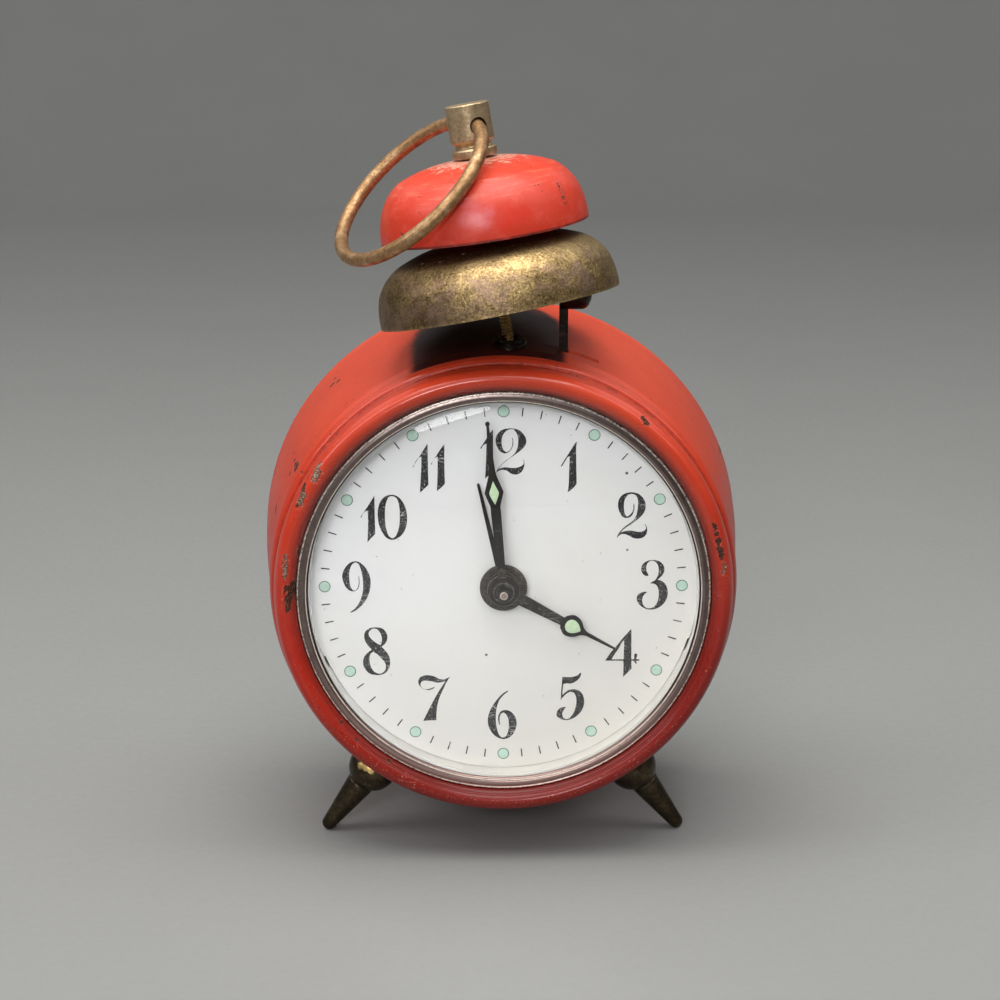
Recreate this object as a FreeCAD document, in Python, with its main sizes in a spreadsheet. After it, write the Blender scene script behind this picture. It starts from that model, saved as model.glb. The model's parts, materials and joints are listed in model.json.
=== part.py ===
import FreeCAD, Part
import Sketcher
import math
import os

# Wind-up alarm clock with two bells stacked on one post.
# Frame: +X to the right as seen from the dial side, +Y to the back, +Z up,
# origin on the surface the clock stands on, under the middle of its depth.
# Depths inside the clock ("y") are counted from the printed face of the dial,
# positive to the back; heights ("z") and sides ("x") from the dial's centre.

V = FreeCAD.Vector
doc = FreeCAD.newDocument("alarm_clock")
sheet = doc.addObject("Spreadsheet::Sheet", "Dims")
ROWS = [0]
KNOWN = {}


class Size(object):
    """A number together with the expression that drives it."""

    def __init__(self, value, text):
        self.value = float(value)
        self.text = text

    def _mix(self, other, sign, swap=False):
        ov = other.value if isinstance(other, Size) else float(other)
        ot = other.text if isinstance(other, Size) else "%.6f" % float(other)
        a, b, ta, tb = self.value, ov, self.text, ot
        if swap:
            a, b, ta, tb = b, a, tb, ta
        value = {"+": a + b, "-": a - b, "*": a * b}[sign] if sign != "/" else a / b
        return Size(value, "(%s %s %s)" % (ta, sign, tb))

    def __add__(self, o):
        return self._mix(o, "+")

    def __radd__(self, o):
        return self._mix(o, "+", True)

    def __sub__(self, o):
        return self._mix(o, "-")

    def __rsub__(self, o):
        return self._mix(o, "-", True)

    def __mul__(self, o):
        return self._mix(o, "*")

    def __rmul__(self, o):
        return self._mix(o, "*", True)

    def __truediv__(self, o):
        return self._mix(o, "/")

    def __neg__(self):
        return self._mix(-1.0, "*")


def dim(alias, value, note=""):
    """Put one driving dimension into the sheet (millimetres or degrees)."""
    if alias in KNOWN:
        return KNOWN[alias]
    ROWS[0] += 1
    row = str(ROWS[0])
    sheet.set("A" + row, alias)
    sheet.set("B" + row, "%.6f" % value)
    sheet.set("C" + row, note)
    sheet.setAlias("B" + row, alias)
    KNOWN[alias] = Size(value, "Dims." + alias)
    return KNOWN[alias]


def val(q):
    return q.value if isinstance(q, Size) else float(q)


def drive(obj, path, q, alias):
    """Bind a property to the sheet; a plain number gets a cell of its own."""
    if not isinstance(q, Size):
        q = dim(alias, q)
    obj.setExpression(path, q.text)


# ---------------------------------------------------------------- driving sizes
dial_y = dim("dial_y", -15.58, "row depth of the dial's printed face")
centre_height = dim("centre_height", 41.8, "dial centre above the ground")
wall = dim("case_wall", 0.8, "sheet thickness of the barrel")
case_front_r = dim("case_front_radius", 34.7, "barrel outside radius behind the neck")
case_mid_r = dim("case_middle_radius", 36.65, "barrel outside radius half way back")
case_back_r = dim("case_back_radius", 37.8, "barrel outside radius at the back")
case_back_y = dim("case_back_depth", 32.9, "depth of the barrel's back edge")
neck_r = dim("neck_radius", 33.9, "neck behind the bezel bead")
bead_r = dim("bezel_bead_radius", 34.6, "outside of the second bead")
lip_r = dim("bezel_lip_radius", 30.5, "inner edge of the red bezel")
lip_y = dim("bezel_lip_depth", -4.6, "front of the bezel's inner lip")
crest_y = dim("bezel_crest_depth", -6.5, "front of the bezel's main roll")
glass_r = dim("crystal_radius", 29.6, "outside radius of the crystal")
crest_glass_y = dim("crystal_crest_depth", -8.3, "front of the domed crystal")
glass_t = dim("crystal_thickness", 1.2, "thickness of the crystal")
dial_r = dim("dial_radius", 28.7, "radius of the dial disc")
dial_t = dim("dial_thickness", 0.4, "thickness of the dial disc")
plate_r = dim("plate_radius", 28.0, "radius of the movement plates")
plate_t = dim("plate_thickness", 1.0, "thickness of the movement plates")
front_plate_y = dim("front_plate_depth", 5.0, "front face of the front plate")
back_plate_y = dim("back_plate_depth", 20.0, "front face of the back plate")
run = dim("running_clearance", 0.05, "radial clearance of a pivot in its hole")
pillar_r = dim("pillar_radius", 2.0, "radius of the pillars")
post_r = dim("bell_post_radius", 0.85, "radius of the threaded bell post")
bell_t = dim("bell_thickness", 0.8, "wall of both bells")
ring_R = dim("ring_radius", 13.2, "centreline radius of the carrying ring")
ring_wire = dim("ring_wire_radius", 1.0, "radius of the ring's wire")
foot_len = dim("foot_length", 11.66, "ball centre to tip centre of a front foot")
foot_ball = dim("foot_ball_radius", 3.8, "radius of a foot's ball collar")
foot_tip = dim("foot_tip_radius", 1.1, "radius of a foot's rounded tip")
mod_train = dim("module_centre_wheel", 0.30, "module of the centre wheel and third pinion")


# ---------------------------------------------------------------- builders
def origin_plane(body, role):
    for f in body.Origin.OriginFeatures:
        if f.Role == role:
            return f
    raise RuntimeError("no plane " + role)


def new_body(label):
    body = doc.addObject("PartDesign::Body", label)
    body.Label = label
    return body


class Sketch(object):
    """A dimensioned sketch on one of its body's own origin planes."""

    def __init__(self, body, name, role="XY_Plane", offset=None):
        self.tag = body.Name.lower() + "_" + name.lower()
        self.sk = body.newObject("Sketcher::SketchObject", body.Name + "_" + name)
        self.sk.AttachmentSupport = [(origin_plane(body, role), "")]
        self.sk.MapMode = "FlatFace"
        self.n = 0
        if offset is not None:
            self.sk.AttachmentOffset = FreeCAD.Placement(V(0, 0, val(offset)), FreeCAD.Rotation())
            drive(self.sk, "AttachmentOffset.Base.z", offset, self.tag + "_level")

    def _fix(self, geo, pos, x, y):
        self.n += 1
        for kind, q, axis, letter in (("DistanceX", x, -2, "x"), ("DistanceY", y, -1, "y")):
            if abs(val(q)) < 1e-9:
                self.sk.addConstraint(Sketcher.Constraint("PointOnObject", geo, pos, axis))
            else:
                k = self.sk.addConstraint(Sketcher.Constraint(kind, -1, 1, geo, pos, val(q)))
                drive(self.sk, "Constraints[%d]" % k, q, "%s_%s%d" % (self.tag, letter, self.n))

    def circle(self, x, y, r):
        g = self.sk.addGeometry(Part.Circle(V(val(x), val(y), 0), V(0, 0, 1), val(r)), False)
        k = self.sk.addConstraint(Sketcher.Constraint("Radius", g, val(r)))
        drive(self.sk, "Constraints[%d]" % k, r, "%s_r%d" % (self.tag, self.n + 1))
        self._fix(g, 3, x, y)
        return self

    def outline(self, verts, bound=True, close=True):
        """verts: (x, y), or (x, y, mx, my) when the edge that arrives there is an
        arc through (mx, my)."""
        if close and all(abs(val(p) - val(q)) < 1e-9 for p, q in zip(verts[0][:2], verts[-1][:2])):
            verts = [verts[-1]] + list(verts[1:-1])
        n = len(verts)
        ends = []
        count = n if close else n - 1
        for i in range(count):
            a, b = verts[i], verts[(i + 1) % n]
            p1 = V(val(a[0]), val(a[1]), 0)
            p2 = V(val(b[0]), val(b[1]), 0)
            if len(b) == 2:
                g = self.sk.addGeometry(Part.LineSegment(p1, p2), False)
                ends.append((g, 1, 2))
                continue
            pm = V(val(b[2]), val(b[3]), 0)
            c, r = circle_through(p1, pm, p2)
            a1 = math.atan2(p1.y - c.y, p1.x - c.x)
            am = math.atan2(pm.y - c.y, pm.x - c.x)
            a2 = math.atan2(p2.y - c.y, p2.x - c.x)
            ccw = ((am - a1) % (2 * math.pi)) < ((a2 - a1) % (2 * math.pi))
            s, e = (a1, a2) if ccw else (a2, a1)
            if e < s:
                e += 2 * math.pi
            g = self.sk.addGeometry(Part.ArcOfCircle(Part.Circle(c, V(0, 0, 1), r), s, e), False)
            ends.append((g, 1, 2) if ccw else (g, 2, 1))
            if bound:
                k = self.sk.addConstraint(Sketcher.Constraint("Radius", g, r))
                drive(self.sk, "Constraints[%d]" % k, r, "%s_arc%d" % (self.tag, i + 1))
        for i in range(len(ends)):
            j = (i + 1) % len(ends)
            if j == 0 and not close:
                break
            self.sk.addConstraint(Sketcher.Constraint("Coincident", ends[i][0], ends[i][2], ends[j][0], ends[j][1]))
        if bound:
            for i in range(count):
                self._fix(ends[i][0], ends[i][1], verts[i][0], verts[i][1])
            if not close:
                self._fix(ends[-1][0], ends[-1][2], verts[-1][0], verts[-1][1])
        else:
            for g, _, _ in ends:
                self.sk.addConstraint(Sketcher.Constraint("Block", g))
        return self


def circle_through(a, b, c):
    ax, ay, bx, by, cx, cy = a.x, a.y, b.x, b.y, c.x, c.y
    d = 2 * (ax * (by - cy) + bx * (cy - ay) + cx * (ay - by))
    ux = ((ax * ax + ay * ay) * (by - cy) + (bx * bx + by * by) * (cy - ay) + (cx * cx + cy * cy) * (ay - by)) / d
    uy = ((ax * ax + ay * ay) * (cx - bx) + (bx * bx + by * by) * (ax - cx) + (cx * cx + cy * cy) * (bx - ax)) / d
    return V(ux, uy, 0), math.hypot(ax - ux, ay - uy)


def turned(body, verts, name="Profile"):
    """Revolve a profile of (radius, height) about the body's Z axis."""
    s = Sketch(body, name, "XZ_Plane").outline(verts)
    f = body.newObject("PartDesign::Revolution", body.Name + "_" + name + "_turned")
    f.Profile = s.sk
    f.ReferenceAxis = (s.sk, ["V_Axis"])
    f.Angle = 360.0
    s.sk.Visibility = False
    body.Tip = f
    return f


def pad(body, s, length, name, both=False):
    f = body.newObject("PartDesign::Pad", body.Name + "_" + name)
    f.Profile = s.sk
    f.Length = val(length)
    drive(f, "Length", length, (body.Name + "_" + name + "_length").lower())
    f.Midplane = both
    body.Tip = f
    return f


def pocket(body, s, length, name, upward=False):
    """Cut from the sketch's plane down (or upward) over the given length."""
    f = body.newObject("PartDesign::Pocket", body.Name + "_" + name)
    f.Profile = s.sk
    f.Type = 0
    f.Length = val(length)
    drive(f, "Length", length, (body.Name + "_" + name + "_length").lower())
    f.Reversed = bool(upward)
    body.Tip = f
    return f


def around(body, feature, s, count, name):
    f = body.newObject("PartDesign::PolarPattern", body.Name + "_" + name)
    f.Originals = [feature]
    f.Axis = (s.sk, ["N_Axis"])
    f.Angle = 360.0
    drive(f, "Occurrences", count, (body.Name + "_" + name + "_count").lower())
    f.Occurrences = int(val(count))
    body.Tip = f
    return f


def disc(body, r_out, r_in, z0, t, name="Disc"):
    s = Sketch(body, name, "XY_Plane", z0)
    s.circle(0, 0, r_out)
    if val(r_in) > 0:
        s.circle(0, 0, r_in)
    return pad(body, s, t, name + "_pad")


def holes(body, pts, z_top, depth, name):
    s = Sketch(body, name, "XY_Plane", z_top)
    for x, y, r in pts:
        s.circle(x, y, r)
    return pocket(body, s, depth, name + "_cut")


def tooth_gap(n, m, bl=0.14, ha=0.8, hd=1.05, alpha=25.0):
    """Outline of one tooth space on the +X side, involute flanks, short teeth."""
    al = math.radians(alpha)
    rp = m * n / 2.0
    rb, ra, rf = rp * math.cos(al), rp + ha * m, rp - hd * m
    base = math.pi / (2 * n) - bl * m / (2 * rp) + math.tan(al) - al

    def half_gap(r):
        ph = math.acos(min(1.0, rb / r)) if r > rb else 0.0
        return math.pi / n - (base - (math.tan(ph) - ph))
    rs = [ra + 0.3 * m, ra, (ra + rp) / 2.0, rp]
    hs = [half_gap(ra), half_gap(ra), half_gap((ra + rp) / 2.0), half_gap(rp)]
    if rf > rb:
        rs += [(rp + rf) / 2.0, rf]
        hs += [half_gap((rp + rf) / 2.0), half_gap(rf)]
    else:
        rs += [rb + 0.02 * m, rf]
        hs += [half_gap(rb), half_gap(rb) * 0.96]
    up = [(r * math.cos(h), r * math.sin(h)) for r, h in zip(rs, hs)]
    down = [(x, -y) for x, y in reversed(up)]
    return up + down, ra


def cut_teeth(body, n, m, z_top, depth, name="Teeth"):
    gap, ra = tooth_gap(n, m)
    s = Sketch(body, name, "XY_Plane", z_top).outline(gap, bound=False)
    f = pocket(body, s, depth, name + "_gap")
    around(body, f, s, n, name + "_around")
    return ra


def windows(body, count, r_in, r_out, spoke, z_top, depth, name="Windows"):
    """Crossing windows that leave straight-sided spokes."""
    h = math.pi / count
    ao, ai = h - spoke / 2.0 / r_out, h - spoke / 2.0 / r_in
    pts = [(r_in * math.cos(-ai), r_in * math.sin(-ai)),
           (r_out * math.cos(-ao), r_out * math.sin(-ao)),
           (r_out * math.cos(ao), r_out * math.sin(ao), r_out, 0.0),
           (r_in * math.cos(ai), r_in * math.sin(ai)),
           ]
    s = Sketch(body, name, "XY_Plane", z_top)
    s.outline(pts, bound=False)
    f = pocket(body, s, depth, name + "_cut")
    around(body, f, s, count, name + "_around")


# Clock-axis pieces are drawn with their own Z along the row's +Y, own X along the
# row's X and own Y down. "angle" turns them about that axis.
def on_axis(body, x=0.0, z=0.0, angle=0.0, y=None):
    body.Placement = FreeCAD.Placement(V(val(x), val(dial_y), val(centre_height) + val(z)),
                                       FreeCAD.Rotation(V(1, 0, 0), -90).multiply(FreeCAD.Rotation(V(0, 0, 1), angle)))
    tag = body.Name.lower()
    if abs(val(x)) > 1e-9:
        drive(body, "Placement.Base.x", x, tag + "_at_x")
    body.setExpression("Placement.Base.y", dial_y.text)
    if isinstance(z, Size):
        body.setExpression("Placement.Base.z", (centre_height + z).text)
    elif abs(z) > 1e-9:
        body.setExpression("Placement.Base.z", (centre_height + dim(tag + "_at_z", z)).text)
    else:
        body.setExpression("Placement.Base.z", centre_height.text)
    return body


def along(obj, point, direction, spin=0.0):
    """Own Z along a direction, origin at a point given from the dial's centre."""
    obj.Placement = FreeCAD.Placement(
        V(val(point[0]), val(dial_y) + val(point[1]), val(centre_height) + val(point[2])),
        FreeCAD.Rotation(V(0, 0, 1), V(*direction)).multiply(FreeCAD.Rotation(V(0, 0, 1), spin)))
    tag = obj.Name.lower()
    obj.setExpression("Placement.Base.x", dim(tag + "_at_x", val(point[0])).text if abs(val(point[0])) > 1e-9 else "0")
    obj.setExpression("Placement.Base.y", (dial_y + dim(tag + "_at_y", val(point[1]))).text)
    obj.setExpression("Placement.Base.z", (centre_height + dim(tag + "_at_z", val(point[2]))).text)
    return obj


def unit(v):
    n = math.sqrt(sum(c * c for c in v))
    return tuple(c / n for c in v)


def toward(a, b):
    """Angle from one arbor to another in the pieces' own plane (own Y is down)."""
    return math.atan2(-(b[1] - a[1]), b[0] - a[0])


def mesh(n_a, phase_a, pos_a, n_b, pos_b):
    """Phase in degrees that puts gear b's space on gear a's tooth."""
    th = toward(pos_a, pos_b)
    pitch = 2 * math.pi / n_a
    first = math.radians(phase_a) + math.pi / n_a
    d = (first - th) % pitch
    if d > pitch / 2:
        d -= pitch
    return math.degrees(th + math.pi - d * n_a / float(n_b))


# ================================================================ where things stand
CENTRE = (0.0, 0.0)
TIME_W = (-12.4, -8.44)          # time winding arbor
ALARM_W = (12.4, -8.44)          # alarm winding arbor
THIRD = (-6.19, 8.85)
MODULE_THIRD, MODULE_FOURTH = 0.26, 0.22
FOURTH = (-13.845, 13.27)
ESCAPE = (-7.36, 17.81)
FORK = (-2.0, 19.75)
BALANCE = (5.2, 20.0)
ALARM_E = (12.9, 5.05)           # alarm escape wheel
HAMMER = (9.0, 10.6)             # hammer arbor
ALARM_S = (5.868, 11.037)        # alarm setting arbor
MINUTE_W = (-11.0, -4.796)       # minute wheel stud
STOP = (17.2, 17.0)              # alarm stop plunger
PILLARS = [(0.0, -24.5), (-24.5, 5.0), (24.5, 5.0), (-4.0, 25.0)]
plate_back = front_plate_y + plate_t          # back face of the front plate
back_out = back_plate_y + plate_t             # back face of the back plate
cover_y = case_back_y                         # front face of the back cover
cover_t = dim("cover_thickness", 0.9, "thickness of the back cover")

NODES = []


def node(obj, label):
    obj.Label = label
    NODES.append((label, obj))
    return obj


# ================================================================ case
barrel = new_body("case_turned")
turned(barrel, [
    (neck_r - 0.5, -0.6), (neck_r - 0.5, 1.75), (neck_r, 1.95), (neck_r + 0.03, 3.0),
    (case_front_r, 5.3, 34.2, 4.25),
    (case_back_r, 30.0, case_mid_r.value, 17.2),
    (case_back_r - 1.3, case_back_y - 0.15, 37.55, 32.0),
    (case_back_r - 1.9, case_back_y), (33.6, case_back_y), (33.6, case_back_y - wall),
    (case_back_r - 2.3, case_back_y - wall),
    (case_back_r - wall, 29.8, 36.7, 31.4),
    (case_front_r - wall, 5.45, case_mid_r.value - 0.8, 17.2),
    (neck_r - wall, 3.1, 33.45, 4.35), (neck_r - wall - 0.45, 1.9), (neck_r - wall - 0.45, -0.6)])
on_axis(barrel)

# Tools that cut the barrel: post hole, hammer slot, three foot holes.
B = (1.0, 7.0, 34.9)                       # where the post leaves the barrel
P_DIR = unit((-0.17686, 0.02793, 0.98384))  # the bent post above the barrel
N_DIR = unit((0.0286, -0.186, 0.982))       # barrel surface normal at the post
FL_DIR = unit((-0.6032, 0.0, -0.7976))
FR_DIR = unit((0.6032, 0.0, -0.7976))
FL_AT = (-20.1, 6.6, -31.4)
FR_AT = (20.1, 6.6, -31.4)
REAR_AT = (0.0, 26.5, -37.4)


def drill(name, at, direction, r, z0, length):
    c = doc.addObject("Part::Cylinder", name)
    c.Radius = val(r)
    c.Height = length
    drive(c, "Radius", r, name.lower() + "_radius")
    drive(c, "Height", length, name.lower() + "_height")
    p = tuple(at[i] + direction[i] * z0 for i in range(3))
    along(c, p, direction)
    return c


post_drill = drill("post_drill", B, N_DIR, 1.1, -4.0, 8.0)
fl_drill = drill("foot_left_drill", FL_AT, FL_DIR, 1.25, -8.0, 10.0)
fr_drill = drill("foot_right_drill", FR_AT, FR_DIR, 1.25, -8.0, 10.0)
rr_drill = drill("foot_rear_drill", REAR_AT, (0, 0, -1), 1.25, -5.0, 10.0)
slot = doc.addObject("Part::Box", "hammer_slot")
for prop, q in (("Length", dim("slot_length", 9.8, "hammer slot along the barrel")),
                ("Width", dim("slot_width", 1.3, "hammer slot across")), ("Height", 12.0)):
    setattr(slot, prop, val(q))
    drive(slot, prop, q, "slot_tool_" + prop.lower())
slot.Placement = FreeCAD.Placement(V(4.5, val(dial_y) + 7.35, val(centre_height) + 27.0), FreeCAD.Rotation())
slot.setExpression("Placement.Base.y", (dial_y + dim("slot_front", 7.35, "front edge of the slot")).text)
slot.setExpression("Placement.Base.z", (centre_height + 27.0).text)
cutters = doc.addObject("Part::MultiFuse", "case_cutters")
cutters.Shapes = [post_drill, fl_drill, fr_drill, rr_drill, slot]
case = doc.addObject("Part::Cut", "case_body")
case.Base = barrel
case.Tool = cutters
node(case, "case_body")

# The barrel's outside as a filled solid, used to seat the feet on it.
envelope = new_body("barrel_outside")
turned(envelope, [(0, 0.0), (neck_r, 0.0), (neck_r + 0.05, 3.0), (case_front_r + 0.02, 5.3, 34.22, 4.25),
                  (case_back_r + 0.02, 30.0, case_mid_r.value + 0.02, 17.2), (case_back_r, 32.5), (0, 32.5)])
on_axis(envelope)

b = new_body("front_bezel")
turned(b, [
    (lip_r, lip_y), (31.1, -5.7, 30.65, -5.25), (32.2, crest_y, 31.55, -6.28), (33.35, -5.75, 32.9, -6.3),
    (33.78, -4.1, 33.66, -5.0), (33.72, -2.1, 33.8, -3.1), (33.82, -1.45, 33.66, -1.75),
    (bead_r, -0.45, 34.35, -1.1), (bead_r - 0.15, 0.75, 34.75, 0.2), (neck_r + 0.12, 1.6),
    (neck_r - 0.42, 1.6), (neck_r - 0.42, -0.9), (33.0, -1.3), (33.0, -4.2), (32.4, -5.4, 32.85, -5.0),
    (31.7, -5.4), (31.2, -4.6), (31.2, -3.6), (lip_r, -3.6)])
on_axis(b)
node(b, "front_bezel")

b = new_body("crystal_ring")
turned(b, [(28.75, -4.35), (29.0, -4.9, 28.8, -4.72), (29.7, -5.15, 29.3, -5.12), (30.25, -5.0, 30.0, -5.14), (30.42, -4.7, 30.38, -4.86),
           (30.42, -3.3), (29.85, -3.3), (29.85, -4.35)])
on_axis(b)
node(b, "crystal_ring")

b = new_body("crystal")
turned(b, [(0, crest_glass_y), (28.4, -4.55, 14.4, crest_glass_y.value + 0.93),
           (28.4, -4.25), (glass_r, -4.25), (glass_r, -3.3), (28.3, -3.3),
           (0, crest_glass_y + glass_t, 14.3, crest_glass_y.value + 2.05)])
on_axis(b)
node(b, "crystal")

b = new_body("dial_ring")
turned(b, [(28.75, -0.05), (28.75, -3.2), (30.9, -3.2), (30.9, -2.4), (29.35, -2.4), (29.35, 3.6), (32.6, 3.6), (32.6, 4.4), (28.95, 4.4),
           (28.95, dial_t + 0.05), (28.8, dial_t + 0.05), (28.8, -0.05)])
on_axis(b)
node(b, "dial_ring")

b = new_body("dial")
disc(b, dial_r, 2.65, 0.0, dial_t)
s = Sketch(b, "Feet", "XY_Plane", dial_t)
for x, z in ((-19.0, 17.0), (19.0, -17.0)):
    s.circle(x, -z, 0.8)
pad(b, s, front_plate_y - dial_t + 0.6, "Feet_pad")
on_axis(b)
node(b, "dial")

b = new_body("back_cover")
cr = 36.2
turned(b, [(0, cover_y), (cr, cover_y), (cr + 0.05, cover_y + 0.5), (cr - 0.5, cover_y + cover_t, cr - 0.1, cover_y.value + 0.8),
           (31.0, cover_y + cover_t), (30.2, cover_y + cover_t + 0.35), (0, cover_y + cover_t + 0.35)])
hole_list = [(0.0, 0.0, 1.6), (TIME_W[0], -TIME_W[1], 2.1), (ALARM_W[0], -ALARM_W[1], 2.1),
             (ALARM_S[0], -ALARM_S[1], 1.4), (STOP[0], -STOP[1], 1.45)]
for x, z in PILLARS[:3]:
    hole_list.append((x, -z, 1.2))
holes(b, hole_list, cover_y + 3.0, 4.0, "Holes")
# regulator window above the balance, and a row of sound holes low down
s = Sketch(b, "Window", "XY_Plane", cover_y + 3.0)
s.outline([(BALANCE[0] - 4.6, -BALANCE[1] - 3.2), (BALANCE[0] + 4.6, -BALANCE[1] - 3.2),
           (BALANCE[0] + 4.6, -BALANCE[1] - 6.4), (BALANCE[0] - 4.6, -BALANCE[1] - 6.4)])
pocket(b, s, 4.0, "Window_cut")
on_axis(b)
node(b, "back_cover")


def copies(label, first, places):
    """Set a compound of copies of one turned piece, at arbor positions."""
    doc.recompute()
    solids = []
    for x, z in places:
        c = first.Shape.copy()
        c.Placement = FreeCAD.Placement(V(x, val(dial_y), val(centre_height) + z), FreeCAD.Rotation(V(1, 0, 0), -90))
        solids.append(c)
    f = doc.addObject("Part::Feature", label)
    f.Shape = Part.makeCompound(solids)
    return node(f, label)


b = new_body("back_screw")
turned(b, [(0, 28.3), (0.95, 28.3), (0.95, 34.4), (2.1, 34.4), (2.1, 34.9), (1.5, 35.45, 1.95, 35.3), (0, 35.6)])
copies("back_screws", b, PILLARS[:3])


# ---------------------------------------------------------------- feet
def foot(label, at, direction, verts, stud_len, stud_end=-0.5):
    f = new_body(label + "_turned")
    turned(f, verts)
    along(f, at, direction)
    seated = doc.addObject("Part::Cut", label + "_seated")
    seated.Base = f
    seated.Tool = envelope
    stud = drill(label + "_stud", at, direction, 1.0, -stud_len, stud_len + stud_end)
    whole = doc.addObject("Part::Fuse", label)
    whole.Base = seated
    whole.Tool = stud
    return node(whole, label)


br, tr, fl = foot_ball, foot_tip, foot_len
foot_profile = [(0, -br * 0.97), (0, fl + tr * 0.97383), (tr * 0.22727, fl + tr * 0.97383),
                (tr * 0.99027, fl + tr * 0.13917, tr.value * 0.70711, fl.value + tr.value * 0.70711),
                (2.2, 3.45), (2.35, 2.98, 2.22, 3.1), (br, 0, 3.3, 1.88), (br * 0.2431, -br * 0.97, 2.687, -2.687)]
foot("front_foot_left", FL_AT, FL_DIR, foot_profile, 7.2)
foot("front_foot_right", FR_AT, FR_DIR, foot_profile, 7.2)
rear_h = dim("rear_foot_height", 4.4, "rear foot, from the barrel's inside line to the ground")
foot("rear_foot", REAR_AT, (0, 0, -1),
     [(0, -1.2), (0, rear_h), (2.3, rear_h), (2.9, rear_h - 0.55, 2.75, 4.25), (3.3, 0.9), (3.3, -1.2)], 5.2, 1.5)

nuts = []
for at, d, z0 in ((FL_AT, FL_DIR, -5.45), (FR_AT, FR_DIR, -5.45), (REAR_AT, (0, 0, -1), -3.05)):
    n = doc.addObject("Part::Prism", "foot_nut_%d" % (len(nuts) + 1))
    n.Polygon = 6
    n.Circumradius = 2.4
    n.Height = 1.6
    drive(n, "Circumradius", dim("foot_nut_radius", 2.4, "across corners / 2"), "")
    drive(n, "Height", dim("foot_nut_height", 1.6), "")
    along(n, tuple(at[i] + d[i] * z0 for i in range(3)), d)
    bore = drill("foot_nut_bore_%d" % (len(nuts) + 1), at, d, 1.0, z0 - 1.0, 4.0)
    c = doc.addObject("Part::Cut", "foot_nut_cut_%d" % (len(nuts) + 1))
    c.Base = n
    c.Tool = bore
    nuts.append(c)
g = doc.addObject("Part::Compound", "foot_nuts")
g.Links = nuts
node(g, "foot_nuts")

# ---------------------------------------------------------------- bell post and bells
# The post is a threaded rod, upright through the barrel and bent just above it.
dot = sum(N_DIR[i] * P_DIR[i] for i in range(3))
lean = math.acos(dot)
x_dir = unit(tuple(P_DIR[i] - N_DIR[i] * dot for i in range(3)))
y_dir = (N_DIR[1] * x_dir[2] - N_DIR[2] * x_dir[1], N_DIR[2] * x_dir[0] - N_DIR[0] * x_dir[2],
         N_DIR[0] * x_dir[1] - N_DIR[1] * x_dir[0])
post = new_body("bell_post")
path = Sketch(post, "Path", "XZ_Plane")
tangent = 1.2
top_s = dim("post_length", 31.3, "post above the barrel")
path.outline([(0, -6.2), (0, -tangent),
              (tangent * math.sin(lean), tangent * math.cos(lean),
               tangent / math.tan(lean / 2) * (1 - math.cos(lean / 2)),
               -tangent + tangent / math.tan(lean / 2) * math.sin(lean / 2)),
              (top_s * math.sin(lean), top_s * math.cos(lean))], close=False)
prof = Sketch(post, "Section", "XY_Plane", -6.2).circle(0, 0, post_r)
pipe = post.newObject("PartDesign::AdditivePipe", "bell_post_pipe")
pipe.Profile = prof.sk
pipe.Spine = (path.sk, ["Edge1", "Edge2", "Edge3"])
post.Tip = pipe
m = FreeCAD.Matrix(x_dir[0], y_dir[0], N_DIR[0], 0, x_dir[1], y_dir[1], N_DIR[1], 0,
                   x_dir[2], y_dir[2], N_DIR[2], 0, 0, 0, 0, 1)
post.Placement = FreeCAD.Placement(V(B[0], val(dial_y) + B[1], val(centre_height) + B[2]), FreeCAD.Placement(m).Rotation)
post.setExpression("Placement.Base.y", (dial_y + dim("post_at_y", B[1], "post behind the dial")).text)
post.setExpression("Placement.Base.z", (centre_height + dim("post_at_z", B[2])).text)
node(post, "bell_post")

b = new_body("post_washer")
turned(b, [(1.25, 0.22), (2.5, 0.22), (2.5, 0.6), (2.3, 0.8), (1.9, 0.8), (1.9, 1.3), (1.25, 1.3)])
along(b, B, N_DIR)
node(b, "post_washer")
n = doc.addObject("Part::Prism", "post_nut_blank")
n.Polygon = 6
drive(n, "Circumradius", dim("post_nut_radius", 2.5), "")
drive(n, "Height", dim("post_nut_height", 1.8), "")
along(n, tuple(B[i] - N_DIR[i] * 3.3 for i in range(3)), N_DIR)
bore = drill("post_nut_bore", B, N_DIR, post_r, -5.0, 6.0)
nut = doc.addObject("Part::Cut", "post_nut")
nut.Base = n
nut.Tool = bore
node(nut, "post_nut")

NB = unit((-math.tan(math.radians(11.1)), math.tan(math.radians(5.5)), 1.0))
NR = unit((-math.tan(math.radians(8.3)), math.tan(math.radians(0.8)), 1.0))
CB = (-0.40, 6.43, 40.85)       # centre of the brass bell's rim
CR = (-2.62, 7.60, 51.95)       # centre of the red bell's rim
brass_r = dim("brass_bell_radius", 17.8, "rim radius of the lower bell")
brass_h = dim("brass_bell_height", 10.6)
red_r = dim("red_bell_radius", 15.3, "rim radius of the upper bell")
red_h = dim("red_bell_height", 10.5)
b = new_body("brass_bell")
turned(b, [(brass_r - bell_t, 0), (brass_r, 0), (17.2, 4.6, 17.72, 2.3), (12.6, 8.8, 15.5, 7.05), (6.0, 10.35, 9.4, 9.83),
           (1.75, brass_h, 3.9, 10.55), (1.75, brass_h - bell_t), (5.9, 9.55, 3.9, 9.75), (12.25, 8.05, 9.2, 9.05),
           (16.4, 4.3, 14.85, 6.45), (brass_r - bell_t, 0, 16.92, 2.2)])
along(b, CB, NB)
node(b, "brass_bell")
b = new_body("red_bell")
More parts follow.
